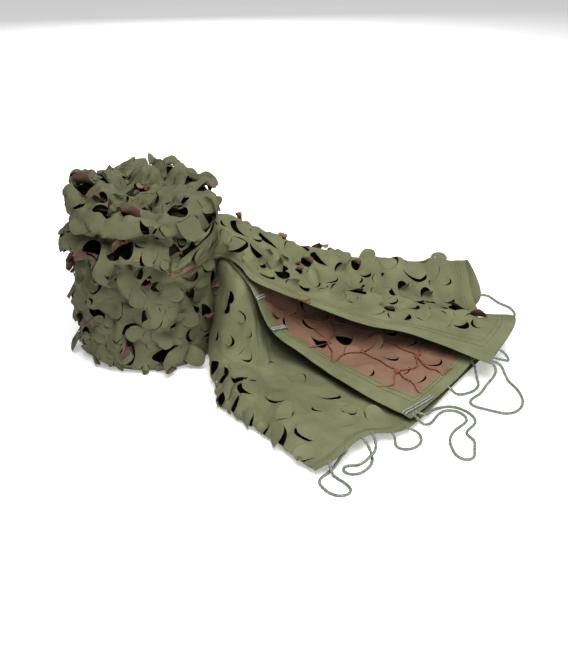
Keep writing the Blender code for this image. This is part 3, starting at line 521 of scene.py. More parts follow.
def folds(points, wide, tall, seed):
    """Bulges of slack cloth, rounded outside and creased between: 0 in the creases, up to about 1."""
    bent = points + 0.014 * np.stack([lumps(points, 0.055, seed + k) for k in (11, 12, 13)], axis=-1)
    return np.abs(lumps(bent / np.array([wide, wide, tall]), 1.0, seed))


def pleat(surface, start, end, tall, wide):
    """A taut fold of cloth between two places of the photograph's frame: its height over the pattern."""
    a, b = np.array(seen_at(surface, *start)), np.array(seen_at(surface, *end))
    u, v = surface.us[:, None] - a[0], surface.vs[None, :] - a[1]
    along = b - a
    share = np.clip((u * along[0] + v * along[1]) / (along @ along), 0, 1)
    off = np.hypot(u - share * along[0], v - share * along[1])
    return tall * (1 - np.clip(off / wide, 0, 1)) ** 1.3 * (0.6 + 0.4 * np.sin(math.pi * share))


def roll_rings():
    """The roll's outer face before it is crumpled, and how calm it is beside the exit."""
    vs = np.linspace(0, ROLL_PROFILE[-1][0], 250)
    way, share, height, drop = (np.array(c) for c in zip(*ROLL_PROFILE))
    share, height, drop = (curve_through(way, c, vs)[None, :] for c in (share, height, drop))
    us = np.linspace(0, 2 * math.pi * (ROLL_RADIUS + TURN_PITCH / 2), 520)
    angle = (us / us[-1] * 2 * math.pi + PATTERN_START)[:, None]
    calm = near_exit(angle)
    share = share * (1 - 0.6 * calm) + np.minimum(share, 1.0) * 0.6 * calm
    corner = 0.10 * rise_at(angle, BACK_CORNER, 20)
    share = share + corner * smooth_step((vs - CROWN) / 0.02) * smooth_step((0.43 - vs) / 0.05)
    lobe = sum(deep * rise_at(angle, middle, half) for middle, half, deep in BELT_LOBES)
    ring = 0.13 * np.stack([np.cos(angle), np.sin(angle), 0 * angle], axis=-1)
    lobe = drop * (lobe + 0.006 * lumps(ring, 0.050, 8)) * (1 - calm)
    radius = turn_radius(angle) * share + lobe
    x, y = radius * np.cos(angle), radius * np.sin(angle)
    tilt = smooth_step((height - 0.20) / 0.09) * (1 - calm)
    z = height + 0.006 * tilt * np.sin(angle - 0.5) - lobe + top_rise(x, y)
    return Surface(us, vs, np.stack([x, y, z], axis=-1)), calm


def roll_folds(plain, calm):
    """How far the cloth stands off those rings: bulges, taut pleats, creases and the wound top."""
    grid, us, vs = plain.grid, plain.us, plain.vs
    free = smooth_step((vs - 0.002) / 0.03)[None, :] * (1 - 0.75 * calm)
    upper = smooth_step((vs - BELT_FOOT) / 0.06)[None, :]
    crown = smooth_step((vs - CROWN) / 0.03)[None, :]
    out = (1 - upper) * (0.018 * folds(grid, 0.085, 0.100, 1) - 0.003)  # bulges of the side
    for start, end, tall, wide in PLEATS:
        out = np.maximum(out, pleat(plain, start, end, tall, wide))
    out = out + upper * (1 - crown) * 0.015 * folds(grid, 0.100, 0.055, 2)  # of the belt folds
    out = out + crown * 0.034 * folds(grid, 0.070, 0.070, 3)  # of the crumpled top
    out = out + (0.008 + 0.010 * crown) * folds(grid, 0.040, 0.034, 4) + 0.0015 * lumps(grid, 0.016, 5)
    out = out + (1 - upper) * 0.005 * creases(grid, 0.050, 6)
    out = out - 0.006 - 0.013 * crown  # so that their middle lies on the rings
    seam = smooth_step(np.minimum(us, us[-1] - us) / 0.02)[:, None]  # its two sides meet
    return (out * free + top_ridges(grid[:, :, 0], grid[:, :, 1])) * seam, crown


def roll_surface():
    """The roll's outer face, the turn under it and the core, as three surfaces on one pattern. The core is
    coloured near-black later: painted shade.
    """
    plain, calm = roll_rings()
    out, crown = roll_folds(plain, calm)
    made = []
    for follow, under in ROLL_TURNS:
        deep = under * smooth_step(plain.vs / 0.025) + (0.0012 if under else 0.0)
        laid = plain.grid + (follow * out - deep)[:, :, None] * plain.normals
        laid[:, :, 2] -= follow * 0.8 * np.maximum(out, 0) * (1 - 0.7 * crown)  # bulges hang a little
        laid[:, :, 2] = np.maximum(laid[:, :, 2], LOWEST)
        made.append(Surface(plain.us, plain.vs, laid))
    return made


# ---- the free end's shape ----------------------------------------------------------------------
class DrapedCloth(Surface):
    """The cloth of the free end. u runs across the folds and v from the roll to the end."""

    def __init__(self):
        self.names = list(FOLD_LINES)
        lines = np.array([self.fold_line(name) for name in self.names])
        lines, self.row_of = self.with_fold_loops(lines)
        along = np.linalg.norm(np.diff(lines, axis=1), axis=2).mean(axis=0)
        across = np.linalg.norm(np.diff(lines, axis=0), axis=2).mean(axis=1)
        self.v_knots = np.concatenate([[0], np.cumsum(along)])
        self.u_knots = np.concatenate([[0], np.cumsum(across)])
        vs = np.linspace(0, self.v_knots[-1], 220)
        us = np.linspace(0, self.u_knots[-1], 700)
        rows = curve_through(self.v_knots, lines.transpose(1, 0, 2), vs)
        grid = curve_through(self.u_knots, rows.transpose(1, 0, 2), us)
        super().__init__(us, vs, grid)
        self.crumple()

    def crumple(self):
        """Puckers and soft dents, calmer in the hems, the tight folds and at the root."""
        u, v = self.us[:, None], self.vs[None, :]
        calm = 0.3 + 0.7 * smooth_step(np.abs(v - self.v_at("root")) / 0.05) * np.ones_like(u)
        edge = np.minimum(np.minimum(u, self.width - u), self.length - v)
        calm = calm * (0.35 + 0.65 * smooth_step((edge - 0.5 * HEM_WIDTH) / HEM_WIDTH))
        calm = calm * (0.15 + 0.85 * smooth_step(np.abs(u - self.u_at("fold_k2")) / 0.05))
        edge_fold = 1 - smooth_step((np.abs(u - self.u_at("fold_f")) - 0.02) / 0.04)
        low = smooth_step((self.grid[:, :, 2] - 0.004) / 0.02)
        flat = np.stack(np.broadcast_arrays(u, v, 0 * u * v), axis=-1)
        out = 0.0034 * lumps(flat, 0.060, 3) + 0.0017 * lumps(flat, 0.024, 4)
        out = out * calm * (0.3 + 0.7 * low)
        # the front fold is puckered and full near the roll, and the ridge and its back are slack
        near_roll = smooth_step((self.length - v) / 0.30)
        out = out + edge_fold * calm * near_roll * (0.011 * np.abs(lumps(flat, 0.045, 9)) - 0.002)
        slack = smooth_step((u - self.u_at("foot_k")) / 0.06)
        slack = slack * smooth_step((self.width - HEM_WIDTH - u) / 0.03)
        slack = slack * smooth_step((v - self.v_at("root")) / 0.08)
        out = out + slack * calm * (0.006 * creases(flat, 0.060, 14) + 0.003 * lumps(flat, 0.030, 15))
        rounded = np.exp(-(((u - self.u_at("fold_f") + 0.045) / 0.030) ** 2))
        out = out + rounded * (0.35 + 0.65 * calm) * near_roll * 0.012
        grid = self.grid + out[:, :, None] * self.normals
        grid[:, :, 2] = np.maximum(grid[:, :, 2], HEM_THICKNESS / 2 + CLEAR)
        self.set_grid(grid)

    def fold_line(self, name):
        degrees, height, apart = ROOT[name]
        angle = math.radians(degrees)
        radius = float(turn_radius(angle)) + apart
        on_roll = []
        for n, degrees in enumerate(WRAP_ANGLES):
            way = math.radians(degrees)
            back = float(turn_radius(way)) + WRAP[name][2 * n + 1]
            on_roll.append((back * math.cos(way), back * math.sin(way), WRAP[name][2 * n]))
        root = (radius * math.cos(angle), radius * math.sin(angle), height)
        return on_roll + [root] + [tuple(c / 1000 for c in point) for point in FOLD_LINES[name]]

    def with_fold_loops(self, lines):
        """Adds a line on each side of every hairpin, so that its layers part by the fold's radius."""
        rows, row_of = [], {}
        share = np.linspace(0, 1, lines.shape[1])[:, None]
        for n, name in enumerate(self.names):
            if name in HAIRPINS:
                at_root, at_end = HAIRPINS[name]
                radius = at_root + (at_end - at_root) * share
                inward = unit((lines[n - 1] + lines[n + 1]) / 2 - lines[n])
                apart = lines[n - 1] - lines[n + 1]
                apart = unit(apart - inward * (apart * inward).sum(axis=1, keepdims=True))
                rows.append(lines[n] + (inward + apart) * radius)
                row_of[name] = len(rows)
                rows.append(lines[n])
                rows.append(lines[n] + (inward - apart) * radius)
            else:
                row_of[name] = len(rows)
                rows.append(lines[n])
        return np.array(rows), row_of

    def u_at(self, name, share=0.0):
        """Place across the cloth of a fold line, or of a share of the way to the next one."""
        here = self.u_knots[self.row_of[name]]
        after = self.names.index(name) + 1
        if after == len(self.names):
            return here
        return here + (self.u_knots[self.row_of[self.names[after]]] - here) * share

    def v_at(self, section, share=0.0):
        here = SECTIONS.index(section)
        return self.v_knots[here] + (self.v_knots[here + 1] - self.v_knots[here]) * share


# ---- leaf cuts ---------------------------------------------------------------------------------
LEAF_ROUND = 13  # points round a leaf's edge
LEAF_DEEP = 5  # points from its hinge to its edge
CUT_ROUND = 23  # points round its cut
LEAF_TOP, LEAF_SOFT = 0.333, 0.016  # leaves bend over above this height, within so much more
LEAF_LIFT, LEAF_DROP, LEAF_SINK = 0.030, 0.016, 0.003  # the most they rise, hang below and sink in
LEAF_BEND = (-1.6, 4.2)  # the most they bend inwards and outwards, in radians
LEAF_REACH = 1.6  # their corners lie at most this many lengths from the hinge
LEAF_EDGES = {  # shares of the length from the hinge and of the width, from hinge end to hinge end
    "round": [
        (0.00, -0.42), (0.30, -0.52), (0.64, -0.48), (0.92, -0.25), (1.00, 0.03),
        (0.91, 0.28), (0.64, 0.47), (0.30, 0.52), (0.00, 0.42),
    ],
    "hooked": [
        (0.00, -0.36), (0.34, -0.42), (0.68, -0.26), (0.93, -0.02), (1.00, 0.24),
        (0.88, 0.46), (0.56, 0.57), (0.25, 0.53), (0.00, 0.42),
    ],
    "lobed": [
        (0.00, -0.52), (0.36, -0.66), (0.74, -0.62), (0.98, -0.38), (0.92, -0.12), (0.72, 0.01),
        (0.86, 0.14), (0.94, 0.38), (0.72, 0.60), (0.34, 0.66), (0.00, 0.52),
    ],
}


def leaf_rim(leaf, count=LEAF_ROUND):
    """A leaf's cut edge from hinge end to hinge end: flat x from the hinge and y across, in metres."""
    edge = np.array(LEAF_EDGES[leaf["kind"]])
    knots = way_along(edge)
    rim = curve_through(knots, edge, np.linspace(0, knots[-1], count))
    x, y = rim[:, 0] * leaf["long"], rim[:, 1] * leaf["wide"] * leaf["mirror"]
    return (x, y) if leaf["mirror"] > 0 else (x[::-1], y[::-1])


def new_leaf(u, v, calm, turn, size, curl=None, kind=None, axis=None):
    """A leaf at a flat place, with how it lifts and curls. Calm leaves lie nearly flat."""
    begin, sharp = 0.1 + random.uniform(0.0, 0.65) * calm, 1.3
    if curl is None:
        curl = random.uniform(0.35, 0.9) + (1 - calm) * random.uniform(0.1, 0.9)
        chance = random.random()
        if chance < 0.03 + 0.28 * (1 - calm) ** 2:  # these fold right back and show their brown side
            curl, begin, sharp = random.uniform(1.6, 3.1), 0.18, 0.7
        elif chance < 0.30:  # and these sink in
            curl = -0.4
    return {
        "u": u,
        "v": v,
        "turn": random.uniform(0, 2 * math.pi) if turn is None else turn,
        "kind": kind or random.choice(("round", "round", "hooked", "hooked", "lobed")),
        "mirror": random.choice((-1, 1)),
        "long": LEAF_LONG * size * random.uniform(0.9, 1.1),
        "wide": LEAF_WIDE * size * random.uniform(0.9, 1.1),
        "curl": curl,
        "begin": begin,
        "sharp": sharp,
        "axis": random.uniform(-0.9, 0.9) if axis is None else axis,
        "cup": random.uniform(-4, 7) * (1.3 - calm),
        "open": max(0.0, random.uniform(-0.08, 0.15)),
        "slide": random.uniform(-0.10, 0.10),
        "stiff": random.uniform(0.3, 1.0),
    }


def inside(px, py, outline):
    """Which of many flat points lie inside a closed outline."""
    x, y = outline
    found = np.zeros(len(px), bool)
    for ax, ay, bx, by in zip(x, y, np.roll(x, -1), np.roll(y, -1)):
        if ay != by:
            found ^= ((ay > py) != (by > py)) & (px < ax + (py - ay) * (bx - ax) / (by - ay))
    return found


def box_of(outline, grow=0.0):
    x, y = outline
    return x.min() - grow, x.max() + grow, y.min() - grow, y.max() + grow


def boxes_apart(one, other):
    return other[0] > one[1] or other[1] < one[0] or other[2] > one[3] or other[3] < one[2]


def found_in(places, box):
    """Numbers of the flat places that lie in a box."""
    x, y = places.T
    return np.flatnonzero((x > box[0]) & (x < box[1]) & (y > box[2]) & (y < box[3]))


def swollen(outline, share):
    """An outline grown from its middle."""
    return [c.mean() + (c - c.mean()) * share for c in outline]


def touch(one, other, share=None):
    """Whether two cuts overlap, each held against the other, grown by a share."""
    grown = (one, other) if share is None else (swollen(one, share), swollen(other, share))
    return inside(*one, grown[1]).any() or inside(*other, grown[0]).any()


def add_cut(surface, leaf):
    """Gives a leaf its cut in the flat pattern and the box round it."""
    x, y = leaf_rim(leaf, CUT_ROUND)
    u, v = np.full(len(x), leaf["u"]), np.full(len(x), leaf["v"])
    leaf["cut"] = surface.step(u, v, leaf["turn"], x - leaf["long"] / 2, y)
    leaf["box"] = box_of(leaf["cut"], LEAF_CLEAR)


def scatter_leaves(surface, region, apart, tries, calm, leaves, allowed=None, hang=False, sizes=USUAL_SIZES):
    """Adds leaves over a region (u0, u1, v0, v1) of the pattern, where they don't touch others."""
    u0, u1, v0, v1 = region
    for _ in range(tries):
        u, v = random.uniform(u0, u1), random.uniform(v0, v1)
        here = calm(u, v) if callable(calm) else calm
        if here is None:
            continue
        turn = random.gauss(-math.pi / 2, 1.2) if hang else None
        leaf = new_leaf(u, v, here, turn, random.uniform(*sizes))
        if any(abs(u - o["u"]) < apart and math.hypot(u - o["u"], v - o["v"]) < apart for o in leaves):
            continue
        if allowed is not None and not allowed(u, v):
            continue
        add_cut(surface, leaf)
        a, b, c, d = box_of(leaf["cut"])
        if a < u0 or b > u1 or c < v0 or d > v1 or b - a > LONGEST_CUT[0] or d - c > LONGEST_CUT[1]:
            continue
        near = (o for o in leaves if not boxes_apart(leaf["box"], o["box"]))
        if not any(touch(leaf["cut"], o["cut"], CUT_APART) for o in near):
            leaves.append(leaf)


def cut_sheet(surface, leaves, points):
    """Triangles of the flat pattern with the leaves' holes left out: places and faces."""
    places = np.array(points)
    keep = np.ones(len(places), bool)
    for leaf in leaves:
        near = found_in(places, leaf["box"])
        x, y = places[near].T
        gap = np.hypot(x[:, None] - leaf["cut"][0], y[:, None] - leaf["cut"][1]).min(axis=1)
        keep[near[inside(x, y, leaf["cut"]) | (gap < GRID_CLEAR)]] = False
    x, y = places.T
    places = places[keep | (x <= 0) | (x >= surface.width) | (y <= 0) | (y >= surface.length)]
    flat, edges = [], []
    for leaf in leaves:
        ring = list(range(len(flat), len(flat) + len(leaf["cut"][0])))
        flat += list(zip(*leaf["cut"]))
        edges += list(zip(ring, ring[1:] + ring[:1]))
    flat += [tuple(p) for p in places]
    made, _, faces, *_ = geometry.delaunay_2d_cdt([Vector(p) for p in flat], edges, [], 0, 1e-7)
    made = np.array([tuple(p) for p in made])
    faces = np.array([f for f in faces if len(f) == 3])
    middle = made[faces].mean(axis=1)
    solid = np.ones(len(faces), bool)
    for leaf in leaves:
        near = found_in(middle, leaf["box"])
        solid[near[inside(*middle[near].T, leaf["cut"])]] = False
    return made, faces[solid]


def lay_leaf(surface, leaf, x, y):
    """Points of a leaf given as flat x from its hinge and y across: it lifts, curls and springs out."""
    long, lean = leaf["long"], leaf["axis"]
    grow = smooth_step(x / (0.35 * long))
    way = np.clip((x * math.cos(lean) + y * math.sin(lean)) / long, 0, LEAF_REACH)
    steps = np.linspace(0, LEAF_REACH, 33)
    bend = leaf["curl"] * np.maximum((steps - leaf["begin"]) / (1 - leaf["begin"]), 0) ** leaf["sharp"]
    bend = np.clip(bend, *LEAF_BEND)
    # going along its bend, the tip is drawn back and rises
    mean = (bend[1:] + bend[:-1]) / 2
    size = steps[1] * long
    ahead = np.concatenate([[0], np.cumsum(np.cos(mean) * size)])
    above = np.concatenate([[0], np.cumsum(np.sin(mean) * size)])
    pull = np.interp(way, steps, ahead) - way * long
    rise = np.interp(way, steps, above) * grow
    rise = rise + leaf["cup"] * y**2 * smooth_step(x / long)
    rise = np.clip(rise, -LEAF_DROP if leaf["curl"] < -0.5 else -LEAF_SINK, LEAF_LIFT)
    x = x + pull * math.cos(lean) * grow
    y = y + pull * math.sin(lean) * grow
    turn = leaf["turn"]
    u0, v0 = np.full(x.shape, leaf["u"]), np.full(x.shape, leaf["v"])
    u, v = surface.step(u0, v0, turn, x - long / 2, y)
    follow = surface.place(u, v, rise)
    # a stiff leaf goes on straight from its hinge where the cloth curves away under it
    hinge_u, hinge_v = surface.step(np.array(leaf["u"]), np.array(leaf["v"]), turn, -long / 2, 0.0)
    hinge = surface.place(hinge_u, hinge_v)
    out = unit(surface.read(surface.normals, hinge_u, hinge_v))
    ahead = surface.place(*surface.step(hinge_u, hinge_v, turn, 0.002, 0.0)) - hinge
    ahead = unit(ahead - out * (ahead @ out))
    aside = np.cross(out, ahead)
    straight = hinge + x[..., None] * ahead + y[..., None] * aside + rise[..., None] * out
    apart = ((straight - follow) * unit(surface.read(surface.normals, u, v))).sum(axis=-1)
    apart = apart if leaf["curl"] > 0 else 0 * apart
    share = leaf["stiff"] * smooth_step(apart / 0.004) * grow
    points = follow + (straight - follow) * share[..., None]
    # nothing stands far over the top, and nothing goes through the floor
    over = np.maximum(points[..., 2] - LEAF_TOP, 0)
    points[..., 2] = np.clip(points[..., 2] - over + LEAF_SOFT * np.tanh(over / LEAF_SOFT), 0.0008, None)
    return points


def grid_quads(rows, columns):
    """Faces of a grid of points that are given row by row."""
    n = np.arange((rows - 1) * (columns - 1))
    corner = n // (columns - 1) * columns + n % (columns - 1)
    return np.stack([corner, corner + columns, corner + columns + 1, corner + 1], axis=1)


def uncut(surface, us, vs, rise=0.0):
    """Points and faces of a part of the cloth without leaves."""
    uu, vv = np.meshgrid(us, vs, indexing="ij")
    return surface.place(uu.ravel(), vv.ravel(), rise), grid_quads(*uu.shape)


def leaf_tongues(surface, leaves):
    """Points and faces of the leaves themselves, each a fan of rows from its hinge to its edge."""
    points, faces = [], []
    deep = np.linspace(0, 1, LEAF_DEEP)[:, None]
    quads = grid_quads(LEAF_DEEP, LEAF_ROUND)
    for leaf in leaves:
        x, y = leaf_rim(leaf)
        hinge = np.linspace(y[0], y[-1], LEAF_ROUND)
        faces.append(quads + len(points) * LEAF_DEEP * LEAF_ROUND)
        along = x * deep
        pulled = leaf["open"] * smooth_step(x / leaf["long"])
        aside = hinge + (y * (0.999 - 0.3 * pulled) - hinge) * deep
        aside = aside + leaf["slide"] * 5 * pulled * along
        points.append(lay_leaf(surface, leaf, along * (1 - pulled), aside).reshape(-1, 3))
    return np.concatenate(points), np.concatenate(faces)


# ---- meshes ------------------------------------------------------------------------------------
def linked(name, data):
    made = bpy.data.objects.new(name, data)
    bpy.context.scene.collection.objects.link(made)
    return made


def mesh_piece(name, points, faces, *finishes):
    mesh = bpy.data.meshes.new(name)
    mesh.from_pydata([tuple(p) for p in points], [], [tuple(int(n) for n in f) for f in faces])
    mesh.validate()
    for finish in finishes:
        mesh.materials.append(finish)
    piece = linked(name, mesh)
    mesh.shade_smooth()
    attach(piece, "root")
    return piece


def thicken(piece):
    """Two-sided cloth: the face keeps the first material and the back takes the second."""
    solid = piece.modifiers.new("cloth", "SOLIDIFY")
    solid.thickness = CLOTH
    solid.offset = 0.0
    solid.material_offset = 1
    solid.material_offset_rim = 0
    crisp = piece.modifiers.new("crisp_edges", "EDGE_SPLIT")
    crisp.split_angle = math.radians(50)
    return piece


def pattern_points(surface, spacing):
    """Grid over the pattern, closer where spacing(u, v) says so."""
    points = []
    rows, columns = int(surface.length / GRID) + 1, int(surface.width / GRID) + 1
    for j in range(rows + 1):
        for i in range(columns + 1):
            u, v = surface.width * i / columns, surface.length * j / rows
            every = spacing(u, v)
            border = i in (0, columns) or j in (0, rows)
            on_lines = (i % every == 0) + (j % every == 0)
            if on_lines == 2 or (border and on_lines):
                points.append((u, v))
    return points


def cut_cloth(name, surface, leaves, spacing, *finishes):
    """The cloth itself, with its leaves cut out."""
    places, faces = cut_sheet(surface, leaves, pattern_points(surface, spacing))
    return thicken(mesh_piece(name, surface.place(*places.T), faces, *finishes))


def swept_tube(path, radius, sides, braid=0.0, pitch=0.010, twist=0.0):
    """Tube along a path. Its strands stand out by a share: plaited with braid, wound with twist."""
    path = np.asarray(path, float)
    tangent = unit(np.gradient(path, axis=0))
    normal = np.zeros_like(path)
    up = np.array([0.0, 0.0, 1.0])
    if abs(tangent[0] @ up) > 0.9:
        up = np.array([1.0, 0.0, 0.0])
    normal[0] = unit(np.cross(tangent[0], np.cross(up, tangent[0])))
    for n in range(1, len(path)):
        normal[n] = unit(normal[n - 1] - tangent[n] * (normal[n - 1] @ tangent[n]))
    other = np.cross(tangent, normal)
    angle = np.linspace(0, 2 * math.pi, sides, endpoint=False)[None, :]
    phase = (2 * math.pi * way_along(path) / pitch)[:, None]
    relief = np.cos(2 * angle + phase)
    if not twist:
        relief = np.maximum(relief, np.cos(2 * angle - phase + math.pi))
    share = twist or braid
    reach = radius * (1 - share + share * relief)
    points = (
        path[:, None, :]
        + (reach * np.cos(angle))[:, :, None] * normal[:, None, :]
        + (reach * np.sin(angle))[:, :, None] * other[:, None, :]
    ).reshape(-1, 3)
    faces = []
    for a in range(0, (len(path) - 1) * sides, sides):
        for k in range(sides):
            m = (k + 1) % sides
            faces.append((a + k, a + m, a + sides + m, a + sides + k))
    faces.append(tuple(range(sides))[::-1])
    faces.append(tuple(range((len(path) - 1) * sides, len(path) * sides)))
    return points, faces


def joined(parts):
    """Several (points, faces) as one."""
    points, faces, count = [], [], 0
    for some, polygons in parts:
        points.append(np.asarray(some))
        faces += [tuple(n + count for n in polygon) for polygon in polygons]
        count += len(some)
    return np.concatenate(points), faces


def smooth_route(points, spacing):
    """Points at an even spacing along a smooth curve through the given ones."""
    points = np.array([tuple(p) for p in points])
    knots = way_along(points, 0.75)
    fine = curve_through(knots, points, np.linspace(0, knots[-1], 40 * len(points)))
    length = way_along(fine)
    at = np.linspace(0, length[-1], max(3, round(length[-1] / spacing)) + 1)
    return np.stack([np.interp(at, length, fine[:, k]) for k in range(3)], axis=1)


def eased(path, reach):
    """The path with its tight turns opened and both ends held."""
    count = int(3 * reach)
    before = 2 * path[0] - path[count:0:-1]
    after = 2 * path[-1] - path[-2 : -count - 2 : -1]
    share = np.exp(-0.5 * (np.arange(-count, count + 1) / reach) ** 2)
    whole = np.concatenate([before, path, after])
    return np.stack([np.convolve(whole[:, k], share / share.sum(), "valid") for k in range(3)], axis=1)


# ---- finishes ----------------------------------------------------------------------------------
def new_finish(name, values):
    """A material with values on its shader's own sockets, its node tree, shader and coordinates."""
    made = bpy.data.materials.new(name)
    made.use_nodes = True
    shader = made.node_tree.nodes["Principled BSDF"]
    for socket, value in values.items():
        shader.inputs[socket].default_value = value
    coords = made.node_tree.nodes.new("ShaderNodeTexCoord")
    return made, made.node_tree, shader, coords.outputs["Object"]


def add_node(tree, kind, vector=None, **values):
    """A node with values on its sockets, read at the given coordinates."""
    node = tree.nodes.new("ShaderNode" + kind)
    for socket, value in values.items():
        node.inputs[socket].default_value = value
    if vector is not None:
        tree.links.new(vector, node.inputs["Vector"])
    return node


def add_noise(tree, coords, scale, detail, roughness=0.5):
    return add_node(tree, "TexNoise", coords, Scale=scale, Detail=detail, Roughness=roughness).outputs["Fac"]


def add_ramp(tree, value, low, dark, high, light):
    """Colour that goes from dark, at one value, to light, at a higher one."""
    ramp = tree.nodes.new("ShaderNodeValToRGB")
    tree.links.new(value, ramp.inputs["Fac"])
    for element, place, colour in zip(ramp.color_ramp.elements, (low, high), (dark, light)):
        element.position = place
        element.color = (*colour, 1.0)
    return ramp.outputs["Color"]


def add_sum(tree, first, second):
    made = tree.nodes.new("ShaderNodeMath")
    made.operation = "ADD"
    tree.links.new(first, made.inputs[0])
    tree.links.new(second, made.inputs[1])
    return made.outputs[0]


def add_bump(tree, height, strength, distance, normal=None):
    bump = add_node(tree, "Bump", Strength=strength, Distance=distance)
    tree.links.new(height, bump.inputs["Height"])
    if normal is not None:
        tree.links.new(normal, bump.inputs["Normal"])
    return bump.outputs["Normal"]


def cloth_finish(name, dark, light, roughness=0.78):
    """Coated woven cloth: soft blotches of colour, a fine weave and small creases."""
    sheen = 0.28 if roughness < 0.85 else 0.05
    made, tree, shader, coords = new_finish(name, {"Roughness": roughness, "Specular IOR Level": sheen})
    blotches = add_ramp(tree, add_noise(tree, coords, 14.0, 4.0, 0.6), 0.30, dark, 0.70, light)
    grain = add_ramp(tree, add_noise(tree, coords, 900.0, 2.0), 0.35, (0.86,) * 3, 0.65, (1.08,) * 3)
    mix = tree.nodes.new("ShaderNodeMix")
    mix.data_type = "RGBA"
    mix.blend_type = "MULTIPLY"
    mix.inputs[0].default_value = 0.7
    tree.links.new(blotches, mix.inputs[6])
    tree.links.new(grain, mix.inputs[7])
    tree.links.new(mix.outputs[2], shader.inputs["Base Color"])
    weave = []
    for axis in ("X", "Y", "Z"):
        wave = add_node(tree, "TexWave", coords, Scale=380.0, Distortion=0.8, Detail=1.0)
        wave.bands_direction = axis
        weave.append(wave.outputs["Fac"])
    total = add_sum(tree, add_sum(tree, weave[0], weave[1]), weave[2])
    fine = add_bump(tree, total, 0.10, 0.0004)
    bump = add_bump(tree, add_noise(tree, coords, 90.0, 3.0, 0.55), 0.25, 0.0025, fine)
    tree.links.new(bump, shader.inputs["Normal"])
    return made


def cord_finish(name, dark, light):
    """Braided yarn: strands of two tones and fuzz."""
    made, tree, shader, coords = new_finish(name, {"Roughness": 0.9, "Specular IOR Level": 0.2})
    colour = add_ramp(tree, add_noise(tree, coords, 520.0, 2.0), 0.36, dark, 0.62, light)
    tree.links.new(colour, shader.inputs["Base Color"])
    fuzz = add_bump(tree, add_noise(tree, coords, 1400.0, 2.0), 0.4, 0.0006)
    tree.links.new(fuzz, shader.inputs["Normal"])
    return made


# ---- pieces ------------------------------------------------------------------------------------
def build_camera():
    data = bpy.data.cameras.new("camera")
    data.sensor_fit = "HORIZONTAL"
    data.sensor_width = 36.0
    data.lens = 36.0 * FOCAL / FRAME_WIDE
    camera = linked("camera", data)
    camera.location = CAMERA_PLACE
    camera.rotation_euler = (math.pi / 2 - CAMERA_TILT, 0, 0)
    bpy.context.scene.camera = camera


def area_light(name, place, target, size, power):
    data = bpy.data.lights.new(name, "AREA")
    data.shape = "DISK"
    data.size = size
    data.energy = power
    light = linked(name, data)
    light.location = place
    light.rotation_euler = (Vector(target) - Vector(place)).to_track_quat("-Z", "Y").to_euler()


def build_studio():
    bpy.ops.mesh.primitive_plane_add(size=14, location=(0.3, 0, 0))
    floor = bpy.context.object
    floor.name = "floor"
    pale = {
        "Base Color": (0.92, 0.92, 0.92, 1),
        "Emission Color": (1, 1, 1, 1),
        "Emission Strength": 0.37,
        "Roughness": 0.9,
    }
    floor.data.materials.append(new_finish("pale_floor", pale)[0])
    world = bpy.data.worlds.new("studio")
    bpy.context.scene.world = world
    world.use_nodes = True
    sky = world.node_tree.nodes["Background"]
    sky.inputs["Color"].default_value = (1, 1, 1, 1)
    sky.inputs["Strength"].default_value = 0.15
    area_light("key", (0.5, -1.15, 2.6), (0.25, -0.1, 0.1), 2.6, 106)
    area_light("fill", (1.1, -1.8, 0.8), (0.4, -0.05, 0.05), 1.0, 10)
    area_light("back", (0.0, 2.3, 1.2), (0.2, 0.0, 0.1), 2.0, 34)
    view = bpy.context.scene.view_settings
    view.view_transform = "Standard"
    view.exposure = 0.0
    view.gamma = 0.80


def placed_leaves(surface, table, leaves, columns=EVERYWHERE):
    """Leaves that the photograph shows standing out, each where it is seen."""
    for x, y, degrees, size, curl, kind in table:
        u, v = seen_at(surface, x, y, columns)
        wide_open = curl > 1
        lean = random.uniform(-0.7, 0.7) if wide_open else 0.0
        leaf = new_leaf(u, v, 0.5, math.radians(degrees), size, curl, kind, lean)
        leaf["begin"] = 0.12 if wide_open or curl < 0 else 0.3
        leaf["sharp"], leaf["stiff"] = 0.6 if wide_open else 1.2, 0.8
        leaf["open"] = 0.0 if wide_open else 0.06
        add_cut(surface, leaf)
        a, b, c, d = leaf["box"]
        if a <= 0 or b >= surface.width or c <= 0 or d >= surface.length:
            continue
        if not any(touch(leaf["cut"], o["cut"]) for o in leaves):
            leaves.append(leaf)


def calm_over(surface, table, usual):
    """How calm the leaves lie at a pattern place: None where the cloth is left uncut."""
    spots = [(*seen_at(surface, x, y), radius * FRAME_PIXEL, calm) for x, y, radius, calm in table]

    def calm_at(u, v):
        near = [calm for a, b, radius, calm in spots if math.hypot(u - a, v - b) < radius]
        if not near:
            return usual(u, v)
        return max(near) if max(near) <= 1.0 else None

    return calm_at


def tie_thread(surface, u, v, long=0.014, thick=0.0011):
    """A thin thread knotted through the cloth, with two short ends."""
    way = np.linspace(0, 1, 26)
    turn = random.uniform(0, math.pi)
    along = (way - 0.5) * long
    aside = 0.0016 * np.sin(way * 2 * math.pi * 1.5)
    rise = 0.0012 + 0.0022 * np.abs(np.sin(way * 3 * math.pi))
    us = u + along * math.cos(turn) - aside * math.sin(turn)
    vs = v + along * math.sin(turn) + aside * math.cos(turn)
    return swept_tube(surface.place(us, vs, rise), thick / 2, 6)


